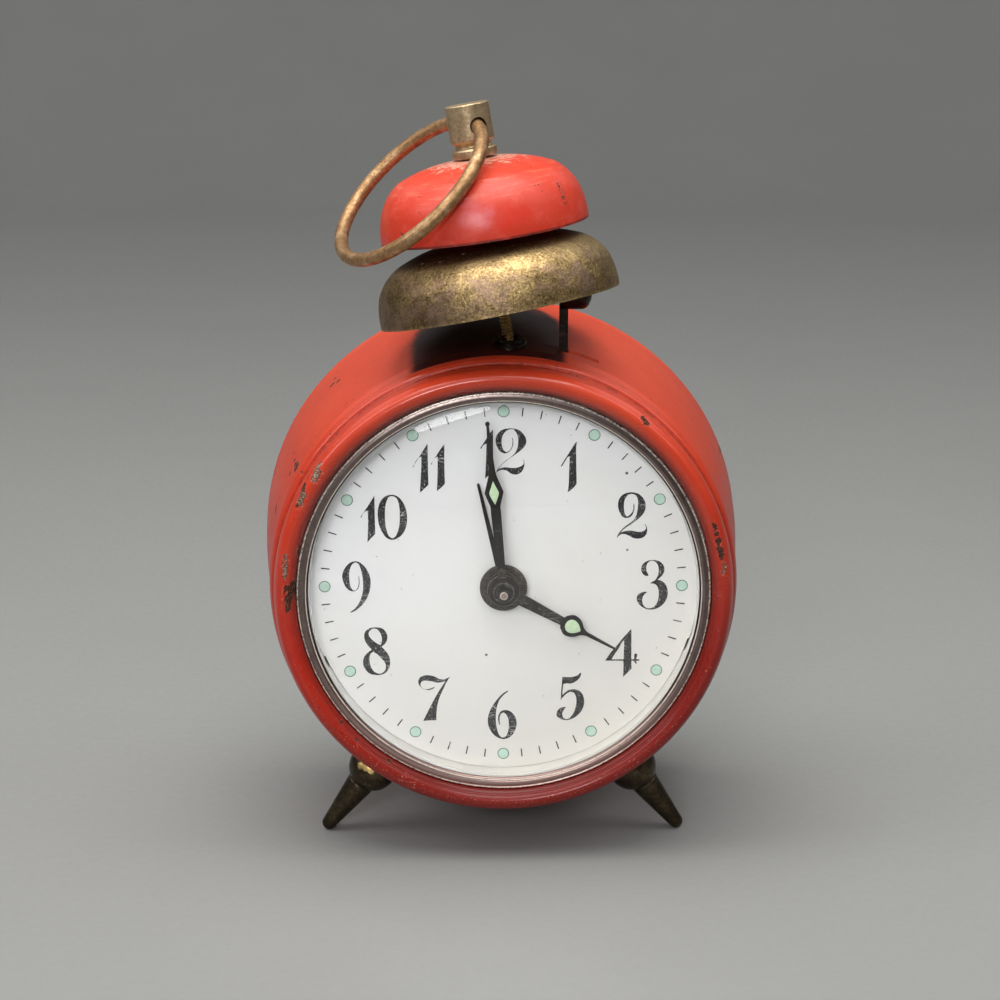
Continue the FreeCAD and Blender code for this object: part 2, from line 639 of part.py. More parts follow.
turned(b, [(red_r - bell_t, 0), (red_r, 0), (14.95, 3.25, 15.25, 1.65), (11.6, 8.4, 13.75, 6.2), (5.6, 10.2, 8.65, 9.52),
           (1.45, red_h, 3.6, 10.42), (1.45, red_h - bell_t), (5.4, 9.4, 3.5, 9.62), (11.1, 7.75, 8.35, 8.77),
           (14.15, 3.1, 13.05, 5.75), (red_r - bell_t, 0, 14.45, 1.55)])
along(b, CR, NR)
node(b, "red_bell")

b = new_body("bell_spacer")
turned(b, [(post_r + 0.05, 17.15), (2.5, 17.15), (2.5, 18.3), (2.0, 18.8), (2.0, 25.2), (2.3, 25.6), (2.3, 26.65), (post_r + 0.05, 26.65)])
along(b, B, P_DIR)
node(b, "bell_spacer")
b = new_body("bell_seat")
turned(b, [(post_r + 0.05, 13.4), (2.2, 13.4), (2.5, 13.7), (2.5, 15.45), (post_r + 0.05, 15.45)])
along(b, B, P_DIR)
node(b, "bell_seat")

# Finial: collar, neck and drilled head in one turned piece.
fin_body = new_body("finial_turned")
turned(fin_body, [(post_r + 0.05, 28.15), (3.25, 28.15), (3.3, 28.4), (3.3, 29.2), (3.1, 29.45), (2.75, 29.55), (2.7, 30.0, 2.62, 29.78),
                  (3.2, 30.55), (3.23, 30.8), (3.23, 35.45), (2.95, 35.8, 3.15, 35.72), (0, 35.8), (0, 31.45), (post_r + 0.05, 31.4)])
along(fin_body, B, P_DIR)
H_DIR = unit((0.4162, -0.9076, -0.0559))      # axis of the cross hole, out to the front
D_DIR = unit((-0.6585, -0.2584, -0.7069))
dd = sum(H_DIR[i] * D_DIR[i] for i in range(3))
D_DIR = unit(tuple(D_DIR[i] - H_DIR[i] * dd for i in range(3)))
H_AT = tuple(B[i] + P_DIR[i] * 32.95 for i in range(3))
cross = drill("finial_hole_drill", H_AT, H_DIR, dim("finial_hole_radius", 1.3, "cross hole for the ring"), -6.0, 12.0)
fin = doc.addObject("Part::Cut", "finial")
fin.Base = fin_body
fin.Tool = cross
node(fin, "finial")

ring = doc.addObject("Part::Torus", "ring_handle")
drive(ring, "Radius1", ring_R, "")
drive(ring, "Radius2", ring_wire, "")
ring.Radius1 = ring_R.value
ring.Radius2 = ring_wire.value
RC = tuple(H_AT[i] + D_DIR[i] * (ring_R.value - 0.23) for i in range(3))
ring_n = (D_DIR[1] * H_DIR[2] - D_DIR[2] * H_DIR[1], D_DIR[2] * H_DIR[0] - D_DIR[0] * H_DIR[2], D_DIR[0] * H_DIR[1] - D_DIR[1] * H_DIR[0])
along(ring, RC, ring_n)
node(ring, "ring_handle")


# ================================================================ hands
def hand(label, levels, hub_r, bore_r, blade, angle, tube=None):
    """A stamped hand: hub disc, blade outline along own +X, optional tube."""
    y0, t = levels
    b = new_body(label)
    disc(b, hub_r, bore_r, y0, t, "Hub")
    s = Sketch(b, "Blade", "XY_Plane", y0).outline(blade)
    pad(b, s, t, "Blade_pad")
    holes(b, [(0, 0, bore_r)], y0 + t + 0.5, t + 1.0, "Bore")
    if tube:
        r, y1 = tube
        s = Sketch(b, "Tube", "XY_Plane", y0)
        s.circle(0, 0, r)
        s.circle(0, 0, bore_r)
        pad(b, s, y1 - y0, "Tube_pad")
    on_axis(b, 0, 0, angle - 90.0)
    return node(b, label)


alarm_blade = [(2.6, -0.42), (9.0, -0.33), (16.15, -0.2), (16.15, 0.2, 16.34, 0.0), (9.0, 0.33), (2.6, 0.42)]
hand("alarm_hand", (-1.05, 0.3), 3.5, 1.9, alarm_blade, -13.2)
hour_blade = [(1.2, -0.95), (2.6, -0.9), (9.95, -0.62), (10.35, -1.2, 10.05, -0.95), (11.5, -1.67, 10.8, -1.56),
              (13.0, -0.85, 12.45, -1.35), (14.6, -0.27, 13.75, -0.36), (18.95, -0.13), (18.95, 0.13, 19.1, 0.0),
              (14.6, 0.27), (13.0, 0.85, 13.75, 0.36), (11.5, 1.67, 12.45, 1.35), (10.35, 1.2, 10.8, 1.56), (9.95, 0.62, 10.05, 0.95),
              (2.6, 0.9), (1.2, 0.95)]
hand("hour_hand", (-2.45, 0.3), 2.45, 1.35, hour_blade, 118.85)
minute_blade = [(1.0, -0.56), (4.4, -0.58), (12.2, -0.74), (13.1, -0.72), (15.26, -1.38), (17.6, -0.62), (18.4, -0.48), (20.5, -0.36), (25.2, -0.2),
                (25.2, 0.2, 25.8, 0.0), (20.5, 0.36), (18.4, 0.48), (17.6, 0.62), (15.26, 1.38), (13.1, 0.72), (12.2, 0.74), (4.4, 0.58), (1.0, 0.56)]
hand("minute_hand", (-3.5, 0.35), 1.75, 0.8, minute_blade, -5.35)


# ================================================================ movement plates
def plate(label, y0, hole_spec, extra=None):
    b = new_body(label)
    disc(b, plate_r, 0, y0, plate_t)
    holes(b, hole_spec, y0 + plate_t + 1.0, plate_t + 2.0, "Pivots")
    if extra:
        extra(b)
    on_axis(b)
    return node(b, label)


def at(p, r):
    return (p[0], -p[1], r)


PIV = 0.55                                   # pivot radius of the light arbors
hp = PIV + 0.05
front_holes = [at(CENTRE, 0.85), at(TIME_W, 1.05), at(ALARM_W, 1.05), at(THIRD, hp), at(FOURTH, hp), at(ESCAPE, hp),
               at(FORK, hp), at(BALANCE, hp), at(ALARM_E, hp), at(HAMMER, hp), at(ALARM_S, 0.85),
               (-19.0, -17.0, 0.9), (19.0, 17.0, 0.9)]
front_holes += [at(p, 1.1) for p in PILLARS]
back_holes = [at(CENTRE, 1.05), at(TIME_W, 1.6), at(ALARM_W, 1.6), at(THIRD, hp), at(FOURTH, hp), at(ESCAPE, hp),
              at(FORK, hp), at(BALANCE, hp), at(ALARM_E, hp), at(HAMMER, hp), at(ALARM_S, 0.85), at(STOP, 1.45)]
back_holes += [at(p, 1.1) for p in PILLARS]


def stud(b):
    # post that carries the minute wheel, riveted into the front plate
    s = Sketch(b, "Stud", "XY_Plane", front_plate_y)
    s.circle(MINUTE_W[0], -MINUTE_W[1], 0.7)
    f = pad(b, s, 3.2, "Stud_pad")
    f.Reversed = True


plate("front_plate", front_plate_y, front_holes, stud)
plate("back_plate", back_plate_y, back_holes)

b = new_body("pillar_one")
turned(b, [(0, 3.4), (1.05, 3.4), (1.05, plate_back), (pillar_r, plate_back), (pillar_r, back_plate_y), (1.05, back_plate_y), (1.05, 23.6), (0, 23.6)])
copies("pillars", b, PILLARS)
doc.recompute()


def hex_nut(r_c, r_b, y0, h, x, z, name):
    n = doc.addObject("Part::Prism", name + "_blank")
    n.Polygon = 6
    drive(n, "Circumradius", r_c, "hex_radius_" + name.lower())
    drive(n, "Height", h, "hex_height_" + name.lower())
    along(n, (x, y0, z), (0, 1, 0))
    c = drill(name + "_bore", (x, y0, z), (0, 1, 0), r_b, -1.0, h + 2.0)
    k = doc.addObject("Part::Cut", name)
    k.Base = n
    k.Tool = c
    return k


nut_r = dim("plate_nut_radius", 2.2, "half the distance across corners")
parts = [hex_nut(nut_r, 1.05, 3.55, 1.4, p[0], p[1], "front_nut_%d" % i) for i, p in enumerate(PILLARS)]
parts.append(hex_nut(nut_r, 1.05, 21.05, 1.4, PILLARS[3][0], PILLARS[3][1], "rear_nut"))
g = doc.addObject("Part::Compound", "plate_nuts")
g.Links = parts
node(g, "plate_nuts")

b = new_body("back_post_one")
turned(b, [(1.05, 21.05), (2.2, 21.05), (2.2, 32.85), (0.95, 32.85), (0.95, 28.0), (0, 28.0), (0, 24.2), (1.05, 24.2)])
copies("back_posts", b, PILLARS[:3])

# ================================================================ going train
GREAT_N, GREAT_M, CENTRE_P = 50, 0.5, 10
WHEEL_C, WHEEL_3, WHEEL_4 = 64, 60, 64
PIN_T = 8
great_phase = 0.0
centre_pinion_phase = mesh(GREAT_N, great_phase, TIME_W, CENTRE_P, CENTRE)
centre_wheel_phase = 0.0
third_pinion_phase = mesh(WHEEL_C, centre_wheel_phase, CENTRE, PIN_T, THIRD)
fourth_wheel_phase = 0.0
escape_pinion_phase = mesh(WHEEL_4, fourth_wheel_phase, FOURTH, PIN_T, ESCAPE)
third_wheel_phase = 0.0
fourth_pinion_phase = mesh(WHEEL_3, third_wheel_phase, THIRD, PIN_T, FOURTH)


def add_pinion(body, n, m, z_top, length, phase, own_phase, tag="Leaves"):
    """Leaves cut into an arbor that was turned to the leaves' outside radius."""
    gap, ra = tooth_gap(n, m)
    turn = math.radians(phase - own_phase)
    pts = [(x * math.cos(turn) - y * math.sin(turn), x * math.sin(turn) + y * math.cos(turn)) for x, y in gap]
    s = Sketch(body, tag, "XY_Plane", z_top).outline(pts, bound=False)
    f = pocket(body, s, length, tag + "_gap")
    around(body, f, s, n, tag + "_around")


# centre arbor with its pinion, running through to the setting knob
ra = tooth_gap(CENTRE_P, GREAT_M)[1]
b = new_body("centre_arbor")
turned(b, [(0, -5.1), (0.42, -5.1), (0.74, -4.85, 0.66, -5.03), (0.74, 6.25), (1.3, 6.25), (1.3, 6.45), (ra, 6.45), (ra, 8.0), (1.3, 8.0), (1.3, 18.35), (1.6, 18.35), (1.6, 19.6),
           (1.0, 19.6), (1.0, 39.0), (0, 39.0)])
add_pinion(b, CENTRE_P, GREAT_M, 8.0, 1.55, centre_pinion_phase, 0.0)
on_axis(b)
node(b, "centre_arbor")

b = new_body("centre_wheel")
disc(b, tooth_gap(WHEEL_C, 0.30)[1], 1.6, 18.55, 0.6)
cut_teeth(b, WHEEL_C, 0.30, 20.0, 2.0)
windows(b, 4, 3.0, 8.1, 1.3, 20.0, 2.0)
on_axis(b, 0, 0, centre_wheel_phase)
node(b, "centre_wheel")

# third wheel: brass wheel riveted on its steel pinion
ra3 = tooth_gap(PIN_T, 0.30)[1]
b = new_body("third_wheel")
turned(b, [(0, 5.05), (PIV, 5.05), (PIV, 6.15), (0.8, 6.15), (0.8, 13.8), (8.0, 13.8), (8.0, 14.4), (0.8, 14.4), (0.8, 18.2), (ra3, 18.2), (ra3, 19.7), (PIV, 19.7), (PIV, 20.9), (0, 20.9)])
cut_teeth(b, WHEEL_3, MODULE_THIRD, 14.6, 1.0)
windows(b, 4, 2.2, 6.7, 1.1, 14.6, 1.0)
add_pinion(b, PIN_T, 0.30, 19.7, 1.5, third_pinion_phase, third_wheel_phase)
on_axis(b, THIRD[0], THIRD[1], third_wheel_phase)
node(b, "third_wheel")

ra4 = tooth_gap(PIN_T, MODULE_THIRD)[1]
b = new_body("fourth_wheel")
turned(b, [(0, 5.05), (PIV, 5.05), (PIV, 6.15), (0.7, 6.15), (0.7, 10.2), (7.22, 10.2), (7.22, 10.75), (0.55, 10.75), (0.55, 14.7), (ra4, 14.7), (ra4, 16.3), (0.7, 16.3),
           (0.7, 19.8), (PIV, 19.8), (PIV, 20.9), (0, 20.9)])
cut_teeth(b, WHEEL_4, MODULE_FOURTH, 11.0, 1.0)
windows(b, 4, 2.0, 6.0, 1.0, 11.0, 1.0)
add_pinion(b, PIN_T, MODULE_THIRD, 16.3, 1.6, fourth_pinion_phase, fourth_wheel_phase)
on_axis(b, FOURTH[0], FOURTH[1], fourth_wheel_phase)
node(b, "fourth_wheel")

# escape wheel: fifteen raking pointed teeth
rae = tooth_gap(PIN_T, MODULE_FOURTH)[1]
b = new_body("escape_wheel")
turned(b, [(0, 5.05), (PIV, 5.05), (PIV, 6.15), (0.62, 6.15), (0.62, 9.8), (rae, 9.8), (rae, 11.2), (0.62, 11.2), (0.62, 16.6), (3.8, 16.6), (3.8, 17.1), (0.62, 17.1),
           (0.62, 19.8), (PIV, 19.8), (PIV, 20.9), (0, 20.9)])
add_pinion(b, PIN_T, MODULE_FOURTH, 11.2, 1.4, escape_pinion_phase, 0.0)
s = Sketch(b, "Tooth", "XY_Plane", 17.4)
ga, gb = math.radians(-11.2), math.radians(11.4)
s.outline([(4.1 * math.cos(ga), 4.1 * math.sin(ga)), (4.1 * math.cos(gb), 4.1 * math.sin(gb)),
           (3.75 * math.cos(gb), 3.75 * math.sin(gb)), (2.85 * math.cos(math.radians(4.0)), 2.85 * math.sin(math.radians(4.0))),
           (2.85 * math.cos(math.radians(-7.0)), 2.85 * math.sin(math.radians(-7.0))), (3.75 * math.cos(ga), 3.75 * math.sin(ga))], bound=False)
f = pocket(b, s, 1.0, "Tooth_gap")
around(b, f, s, 15, "Tooth_around")
on_axis(b, ESCAPE[0], ESCAPE[1], 0.0)
node(b, "escape_wheel")

# pallet fork with two pins, between the escape wheel and the balance
fa = math.degrees(toward(FORK, ESCAPE))
b = new_body("pallet_fork")
turned(b, [(0, 5.05), (PIV, 5.05), (PIV, 6.15), (0.7, 6.15), (0.7, 15.4), (1.1, 15.4), (1.1, 16.1), (0.7, 16.1), (0.7, 19.8), (PIV, 19.8), (PIV, 20.9), (0, 20.9)])
px, py = 1.75, 2.15
s = Sketch(b, "Arms", "XY_Plane", 15.4)
s.outline([(0.2, -0.5), (px - 0.35, -py - 0.3), (px + 0.3, -py - 0.25), (px + 0.35, -py + 0.3),
           (1.0, 0.0), (px + 0.35, py - 0.3), (px + 0.3, py + 0.25), (px - 0.35, py + 0.3), (0.2, 0.5),
           (-3.6, 0.3), (-3.6, 0.75), (-4.3, 0.75), (-4.3, 0.42), (-3.95, 0.25), (-3.95, -0.25), (-4.3, -0.42), (-4.3, -0.75), (-3.6, -0.75), (-3.6, -0.3)])
pad(b, s, 0.5, "Arms_pad")
s = Sketch(b, "Pins", "XY_Plane", 15.5)
s.circle(px, -py, 0.2)
s.circle(px, py, 0.2)
pad(b, s, 1.7, "Pins_pad")
on_axis(b, FORK[0], FORK[1], fa)
node(b, "pallet_fork")

# balance wheel on its staff, with a spoked rim
b = new_body("balance_wheel")
turned(b, [(0, 5.05), (PIV, 5.05), (PIV, 6.15), (0.6, 6.15), (0.6, 14.6), (1.9, 14.6), (1.9, 14.9), (0.6, 14.9), (0.6, 17.2), (1.3, 17.2), (1.3, 17.4), (6.1, 17.4),
           (6.1, 18.6), (1.3, 18.6), (1.3, 18.9), (0.6, 18.9),
           (0.6, 19.8), (PIV, 19.8), (PIV, 20.9), (0, 20.9)])
windows(b, 3, 1.9, 5.1, 0.9, 18.9, 1.6)
# impulse pin on the roller; it ends just below the fork
s = Sketch(b, "Impulse", "XY_Plane", 14.9)
s.circle(-1.5, 0, 0.25)
pad(b, s, 0.3, "Impulse_pad")
on_axis(b, BALANCE[0], BALANCE[1], 0.0)
node(b, "balance_wheel")


def spiral_band(label, p, r0, r1, turns, thick, y0, width, outer_tail=None):
    """A flat coiled band about an arbor: inner end r0, outer end r1."""
    steps = int(turns * 16)
    inner, outer = [], []
    for i in range(steps + 1):
        a = 2 * math.pi * turns * i / steps
        r = r0 + (r1 - r0) * i / steps
        inner.append(V(r * math.cos(a), r * math.sin(a), 0))
        outer.append(V((r + thick) * math.cos(a), (r + thick) * math.sin(a), 0))
    ci, co = Part.BSplineCurve(), Part.BSplineCurve()
    ci.interpolate(inner)
    co.interpolate(outer)
    wire = Part.Wire([ci.toShape(), Part.LineSegment(inner[-1], outer[-1]).toShape(), co.toShape(),
                      Part.LineSegment(outer[0], inner[0]).toShape()])
    solid = Part.Face(wire).extrude(V(0, 0, width))
    f = doc.addObject("Part::Feature", label)
    f.Shape = solid
    f.Placement = FreeCAD.Placement(V(p[0], val(dial_y) + y0, val(centre_height) + p[1]), FreeCAD.Rotation(V(1, 0, 0), -90))
    return node(f, label)


spring_w = dim("mainspring_width", 6.6, "width of both mainsprings")
spring_t = dim("mainspring_thickness", 0.35, "band thickness")
spiral_band("time_mainspring", TIME_W, 2.75, 9.3, 8.5, spring_t.value, 9.6, spring_w.value)
spiral_band("alarm_mainspring", ALARM_W, 2.75, 8.6, 7.5, spring_t.value, 9.6, spring_w.value)
spiral_band("hairspring", BALANCE, 1.0, 3.4, 8.0, 0.12, 13.6, 0.6)


# ---------------------------------------------------------------- winding sides
def great_wheel(label, p, n, m, phase):
    b = new_body(label)
    r = tooth_gap(n, m)[1]
    disc(b, r, 1.55, 6.7, 0.9)
    cut_teeth(b, n, m, 8.0, 2.0)
    # rivet of the click
    s = Sketch(b, "Rivet", "XY_Plane", 7.6)
    s.circle(6.6, 0, 0.6)
    pad(b, s, 0.95, "Rivet_pad")
    on_axis(b, p[0], p[1], phase)
    return node(b, label)


great_wheel("time_great_wheel", TIME_W, GREAT_N, GREAT_M, great_phase)
ALARM_N, ALARM_M, ALARM_P = 36, 0.6, 9
great_wheel("alarm_great_wheel", ALARM_W, ALARM_N, ALARM_M, 0.0)


def click(label, p, phase):
    b = new_body(label)
    s = Sketch(b, "Outline", "XY_Plane", 7.7)
    s.outline([(6.6, 1.15), (5.6, 1.5, 6.05, 1.4), (3.62, 2.75), (3.45, 2.35), (5.6, -0.2), (6.6, -1.15, 6.0, -0.85), (7.75, 0.0, 7.45, -0.82), (6.6, 1.15, 7.42, 0.83)])
    pad(b, s, 0.75, "Outline_pad")
    holes(b, [(6.6, 0, 0.65)], 9.0, 2.0, "Rivet_hole")
    on_axis(b, p[0], p[1], phase)
    return node(b, label)


click("time_click", TIME_W, 0.0)
click("alarm_click", ALARM_W, 0.0)


def wind_arbor(label, p):
    """Winding arbor with its ratchet: round bearing, ratchet teeth, squared tail."""
    b = new_body(label)
    turned(b, [(0, 5.05), (1.0, 5.05), (1.0, 6.2), (1.5, 6.2), (1.5, 7.7), (3.7, 7.7), (3.7, 8.4), (2.0, 8.4), (2.0, 19.7), (1.5, 19.7), (1.5, 36.2), (0, 36.2)])
    s = Sketch(b, "Ratchet", "XY_Plane", 8.4)
    a0, a1 = math.radians(0.0), math.radians(26.0)
    s.outline([(3.0 * math.cos(a0), 3.0 * math.sin(a0)), (3.95 * math.cos(a0), 3.95 * math.sin(a0)),
               (3.95 * math.cos(a1), 3.95 * math.sin(a1)), (3.55 * math.cos(a1), 3.55 * math.sin(a1))], bound=False)
    f = pocket(b, s, 0.7, "Ratchet_gap")
    around(b, f, s, 12, "Ratchet_around")
    on_axis(b, p[0], p[1], 0.0)
    return node(b, label)


wind_arbor("time_wind_arbor", TIME_W)
wind_arbor("alarm_wind_arbor", ALARM_W)


def wing_key(label, p, angle):
    """Folding-style butterfly key: turned barrel and two flat wings."""
    b = new_body(label)
    turned(b, [(1.55, 34.7), (2.9, 34.7), (3.05, 35.0), (3.05, 37.0), (2.4, 38.2, 2.95, 37.8), (1.4, 38.6), (0, 38.6), (0, 36.3), (1.55, 36.3)])
    s = Sketch(b, "Wings", "XZ_Plane")
    s.outline([(-1.2, 36.6), (-2.6, 37.4), (-4.2, 36.5, -3.2, 36.85), (-7.3, 37.6, -6.1, 36.4), (-7.0, 41.2, -7.75, 39.6), (-4.4, 42.45, -5.9, 42.3),
               (-1.9, 41.2, -2.9, 42.1), (0.0, 40.1, -1.0, 40.4), (1.9, 41.2, 1.0, 40.4), (4.4, 42.45, 2.9, 42.1), (7.0, 41.2, 5.9, 42.3),
               (7.3, 37.6, 7.75, 39.6), (4.2, 36.5, 6.1, 36.4), (2.6, 37.4, 3.2, 36.85), (1.2, 36.6)])
    pad(b, s, 1.6, "Wings_pad", both=True)
    on_axis(b, p[0], p[1], angle)
    return node(b, label)


wing_key("time_key", TIME_W, 20.0)
wing_key("alarm_key", ALARM_W, -35.0)


def knurled(label, p, r, y0, h, bore_r, n):
    b = new_body(label)
    turned(b, [(bore_r, y0), (r * 0.72, y0), (r * 0.76, y0 + 0.9), (r, y0 + 1.3), (r, y0 + h - 0.4), (r - 0.4, y0 + h, r - 0.1, y0 + h - 0.1),
               (0, y0 + h), (0, y0 + h - 1.0), (bore_r, y0 + h - 1.0)])
    s = Sketch(b, "Flute", "XY_Plane", y0 + h + 0.5)
    s.circle(r + 0.18, 0, 0.42)
    f = pocket(b, s, h - 0.8, "Flute_cut")
    around(b, f, s, n, "Flutes")
    on_axis(b, p[0], p[1], 0.0)
    return node(b, label)


knurled("time_set_knob", CENTRE, 4.3, 34.8, 5.2, 1.0, 24)
knurled("alarm_set_knob", ALARM_S, 3.5, 34.8, 4.4, 0.8, 20)

# ================================================================ motion work (under the dial)
CANNON_N, MINUTE_N, MPIN_N, HOUR_N, M1, M2 = 12, 36, 10, 40, 0.5, 0.48
cannon_phase = 0.0
minute_wheel_phase = mesh(CANNON_N, cannon_phase, CENTRE, MINUTE_N, MINUTE_W)
hour_phase = 0.0
mpin_phase = mesh(HOUR_N, hour_phase, CENTRE, MPIN_N, MINUTE_W)
b = new_body("cannon_pinion")
rc = tooth_gap(CANNON_N, M1)[1]
turned(b, [(0.76, -3.15), (1.25, -3.15), (1.25, 3.2), (rc, 3.2), (rc, 4.7), (0.76, 4.7)])
add_pinion(b, CANNON_N, M1, 4.7, 1.5, cannon_phase, 0.0)
on_axis(b, 0, 0, cannon_phase)
node(b, "cannon_pinion")

b = new_body("minute_wheel")
rm_, rw_ = tooth_gap(MPIN_N, M2)[1], tooth_gap(MINUTE_N, M1)[1]
turned(b, [(0.75, 2.1), (rm_, 2.1), (rm_, 3.45), (rw_, 3.45), (rw_, 4.25), (0.75, 4.25)])
cut_teeth(b, MINUTE_N, M1, 4.6, 1.15)
add_pinion(b, MPIN_N, M2, 3.45, 1.5, mpin_phase, minute_wheel_phase)
on_axis(b, MINUTE_W[0], MINUTE_W[1], minute_wheel_phase)
node(b, "minute_wheel")

b = new_body("hour_wheel")
disc(b, tooth_gap(HOUR_N, M2)[1], 1.3, 2.3, 0.7)
cut_teeth(b, HOUR_N, M2, 3.5, 2.0)
s = Sketch(b, "Tube", "XY_Plane", -2.1)
s.circle(0, 0, 1.8)
s.circle(0, 0, 1.3)
pad(b, s, 4.6, "Tube_pad")
on_axis(b, 0, 0, hour_phase)
node(b, "hour_wheel")

ASET_N, AWHEEL_N, M3 = 10, 40, 0.5
alarm_wheel_phase = 0.0
aset_phase = mesh(AWHEEL_N, alarm_wheel_phase, CENTRE, ASET_N, ALARM_S)
b = new_body("alarm_wheel")
disc(b, tooth_gap(AWHEEL_N, M3)[1], 1.85, 0.95, 0.7)
cut_teeth(b, AWHEEL_N, M3, 2.5, 2.5)
s = Sketch(b, "Tube", "XY_Plane", -0.75)
s.circle(0, 0, 2.4)
s.circle(0, 0, 1.85)
pad(b, s, 2.0, "Tube_pad")
on_axis(b, 0, 0, alarm_wheel_phase)
node(b, "alarm_wheel")

b = new_body("alarm_set_arbor")
rs_ = tooth_gap(ASET_N, M3)[1]
turned(b, [(0, 0.7), (rs_, 0.7), (rs_, 1.9), (0.8, 1.9), (0.8, 38.0), (0, 38.0)])
add_pinion(b, ASET_N, M3, 1.9, 1.4, aset_phase, 0.0)
on_axis(b, ALARM_S[0], ALARM_S[1], 0.0)
node(b, "alarm_set_arbor")

# ================================================================ alarm train and hammer
alarm_pinion_phase = mesh(ALARM_N, 0.0, ALARM_W, ALARM_P, ALARM_E)
rap = tooth_gap(ALARM_P, ALARM_M)[1]
b = new_body("alarm_escape_wheel")
turned(b, [(0, 5.05), (PIV, 5.05), (PIV, 6.15), (0.9, 6.15), (0.9, 6.4), (rap, 6.4), (rap, 7.9), (0.9, 7.9), (0.9, 10.2), (4.3, 10.2), (4.3, 10.9), (0.9, 10.9), (0.9, 19.8),
           (PIV, 19.8), (PIV, 20.9), (0, 20.9)])
add_pinion(b, ALARM_P, ALARM_M, 7.9, 1.5, alarm_pinion_phase, 0.0)
s = Sketch(b, "Tooth", "XY_Plane", 11.2)
ga = math.radians(9.0)
s.outline([(4.6 * math.cos(ga), -4.6 * math.sin(ga)), (4.6 * math.cos(ga), 4.6 * math.sin(ga)), (3.1 * math.cos(ga * 0.5), 3.1 * math.sin(ga * 0.5)),
           (3.1 * math.cos(ga * 0.5), -3.1 * math.sin(ga * 0.5))], bound=False)
f = pocket(b, s, 1.4, "Tooth_gap")
around(b, f, s, 16, "Tooth_around")
on_axis(b, ALARM_E[0], ALARM_E[1], 0.0)
node(b, "alarm_escape_wheel")

# hammer arbor with its two-armed pallet over the alarm escape wheel
ha_ = math.degrees(toward(HAMMER, ALARM_E))
b = new_body("hammer_arbor")
turned(b, [(0, 5.05), (PIV, 5.05), (PIV, 6.15), (0.9, 6.15), (0.9, 19.8), (PIV, 19.8), (PIV, 20.9), (0, 20.9)])
s = Sketch(b, "Pallet", "XY_Plane", 10.2)
s.outline([(-0.6, -0.6), (1.2, -2.3), (1.9, -2.1), (1.2, -0.6), (1.35, 0.0), (1.2, 0.6), (1.9, 2.1), (1.2, 2.3), (-0.6, 0.6)])
pad(b, s, 0.7, "Pallet_pad")
on_axis(b, HAMMER[0], HAMMER[1], ha_)
node(b, "hammer_arbor")

b = new_body("hammer_stem")
stem_w = dim("hammer_stem_width", 1.3, "flat stem seen from the front")
stem_t = dim("hammer_stem_thickness", 0.7, "flat stem, front to back")
disc(b, 1.75, 0.9, 7.65, stem_t, "Eye")
s = Sketch(b, "Strip", "XY_Plane", 7.65)
s.outline([(-stem_w / 2, -1.1), (stem_w / 2, -1.1), (stem_w / 2, -30.8), (-stem_w / 2, -30.8)])
pad(b, s, stem_t, "Strip_pad")
on_axis(b, HAMMER[0], HAMMER[1], 0.0)
node(b, "hammer_stem")

hx, hz = 8.35, 42.6
head = new_body("hammer_head_turned")
turned(head, [(0, 0), (1.9, 0), (2.4, 0.5, 2.25, 0.15), (2.4, 3.1), (1.5, 4.45, 2.15, 4.0), (0.5, 4.75, 1.03, 4.68), (0, 4.75)])
along(head, (hx, 8.0, hz), (1, 0, 0))
slot2 = doc.addObject("Part::Box", "hammer_head_slot")
for prop, q in (("Length", 1.3), ("Width", 0.7), ("Height", 6.0)):
    setattr(slot2, prop, q)
drive(slot2, "Length", stem_w, "")
drive(slot2, "Width", stem_t, "")
slot2.Placement = FreeCAD.Placement(V(8.35, val(dial_y) + 7.65, val(centre_height) + 35.4), FreeCAD.Rotation())
slot2.setExpression("Placement.Base.y", (dial_y + 7.65).text)
slot2.setExpression("Placement.Base.z", (centre_height + 35.4).text)
hh = doc.addObject("Part::Cut", "hammer_head")
hh.Base = head
hh.Tool = slot2
node(hh, "hammer_head")

# ================================================================ regulator and stop plunger
b = new_body("regulator")
disc(b, 2.4, 0.7, 21.15, 0.6, "Ring")
s = Sketch(b, "Tail", "XY_Plane", 21.15)
s.outline([(-0.8, -1.6), (0.8, -1.6), (0.6, -5.3), (-0.6, -5.3)])
pad(b, s, 0.6, "Tail_pad")
s = Sketch(b, "Riser", "XY_Plane", 21.15)
s.outline([(-0.6, -4.5), (0.6, -4.5), (0.6, -5.3), (-0.6, -5.3)])
pad(b, s, 14.0, "Riser_pad")
on_axis(b, BALANCE[0], BALANCE[1], 0.0)
node(b, "regulator")

b = new_body("alarm_stop_plunger")
turned(b, [(0, 12.0), (0.9, 12.0), (1.4, 12.6), (1.4, 38.3), (2.5, 38.3), (2.7, 38.6), (2.7, 39.4), (2.2, 40.2, 2.6, 39.9), (0.7, 40.5, 1.5, 40.43), (0, 40.5)])
on_axis(b, STOP[0], STOP[1], 0.0)
node(b, "alarm_stop_plunger")

# ================================================================ check and write
doc.recompute()
bad = []
for obj in doc.Objects:
    if "Invalid" in obj.State or "Error" in obj.State:
        bad.append("%s: %s" % (obj.Name, obj.State))
if bad:
    raise RuntimeError("failed objects: " + "; ".join(bad))
labels = [label for label, _ in NODES]
if len(set(labels)) != len(labels):
    raise RuntimeError("a node name is used twice")
for label, obj in NODES:
    shape = obj.Shape
    if shape.isNull() or not shape.isValid() or shape.Volume <= 0:
        raise RuntimeError("bad shape: " + label)
os.makedirs("parts", exist_ok=True)
for old in os.listdir("parts"):
    if old.endswith(".step") and old[:-5] not in labels:
        os.remove(os.path.join("parts", old))
for label, obj in NODES:
    obj.Shape.exportStep("parts/%s.step" % label)
print("%d nodes, %d cells" % (len(NODES), ROWS[0]))
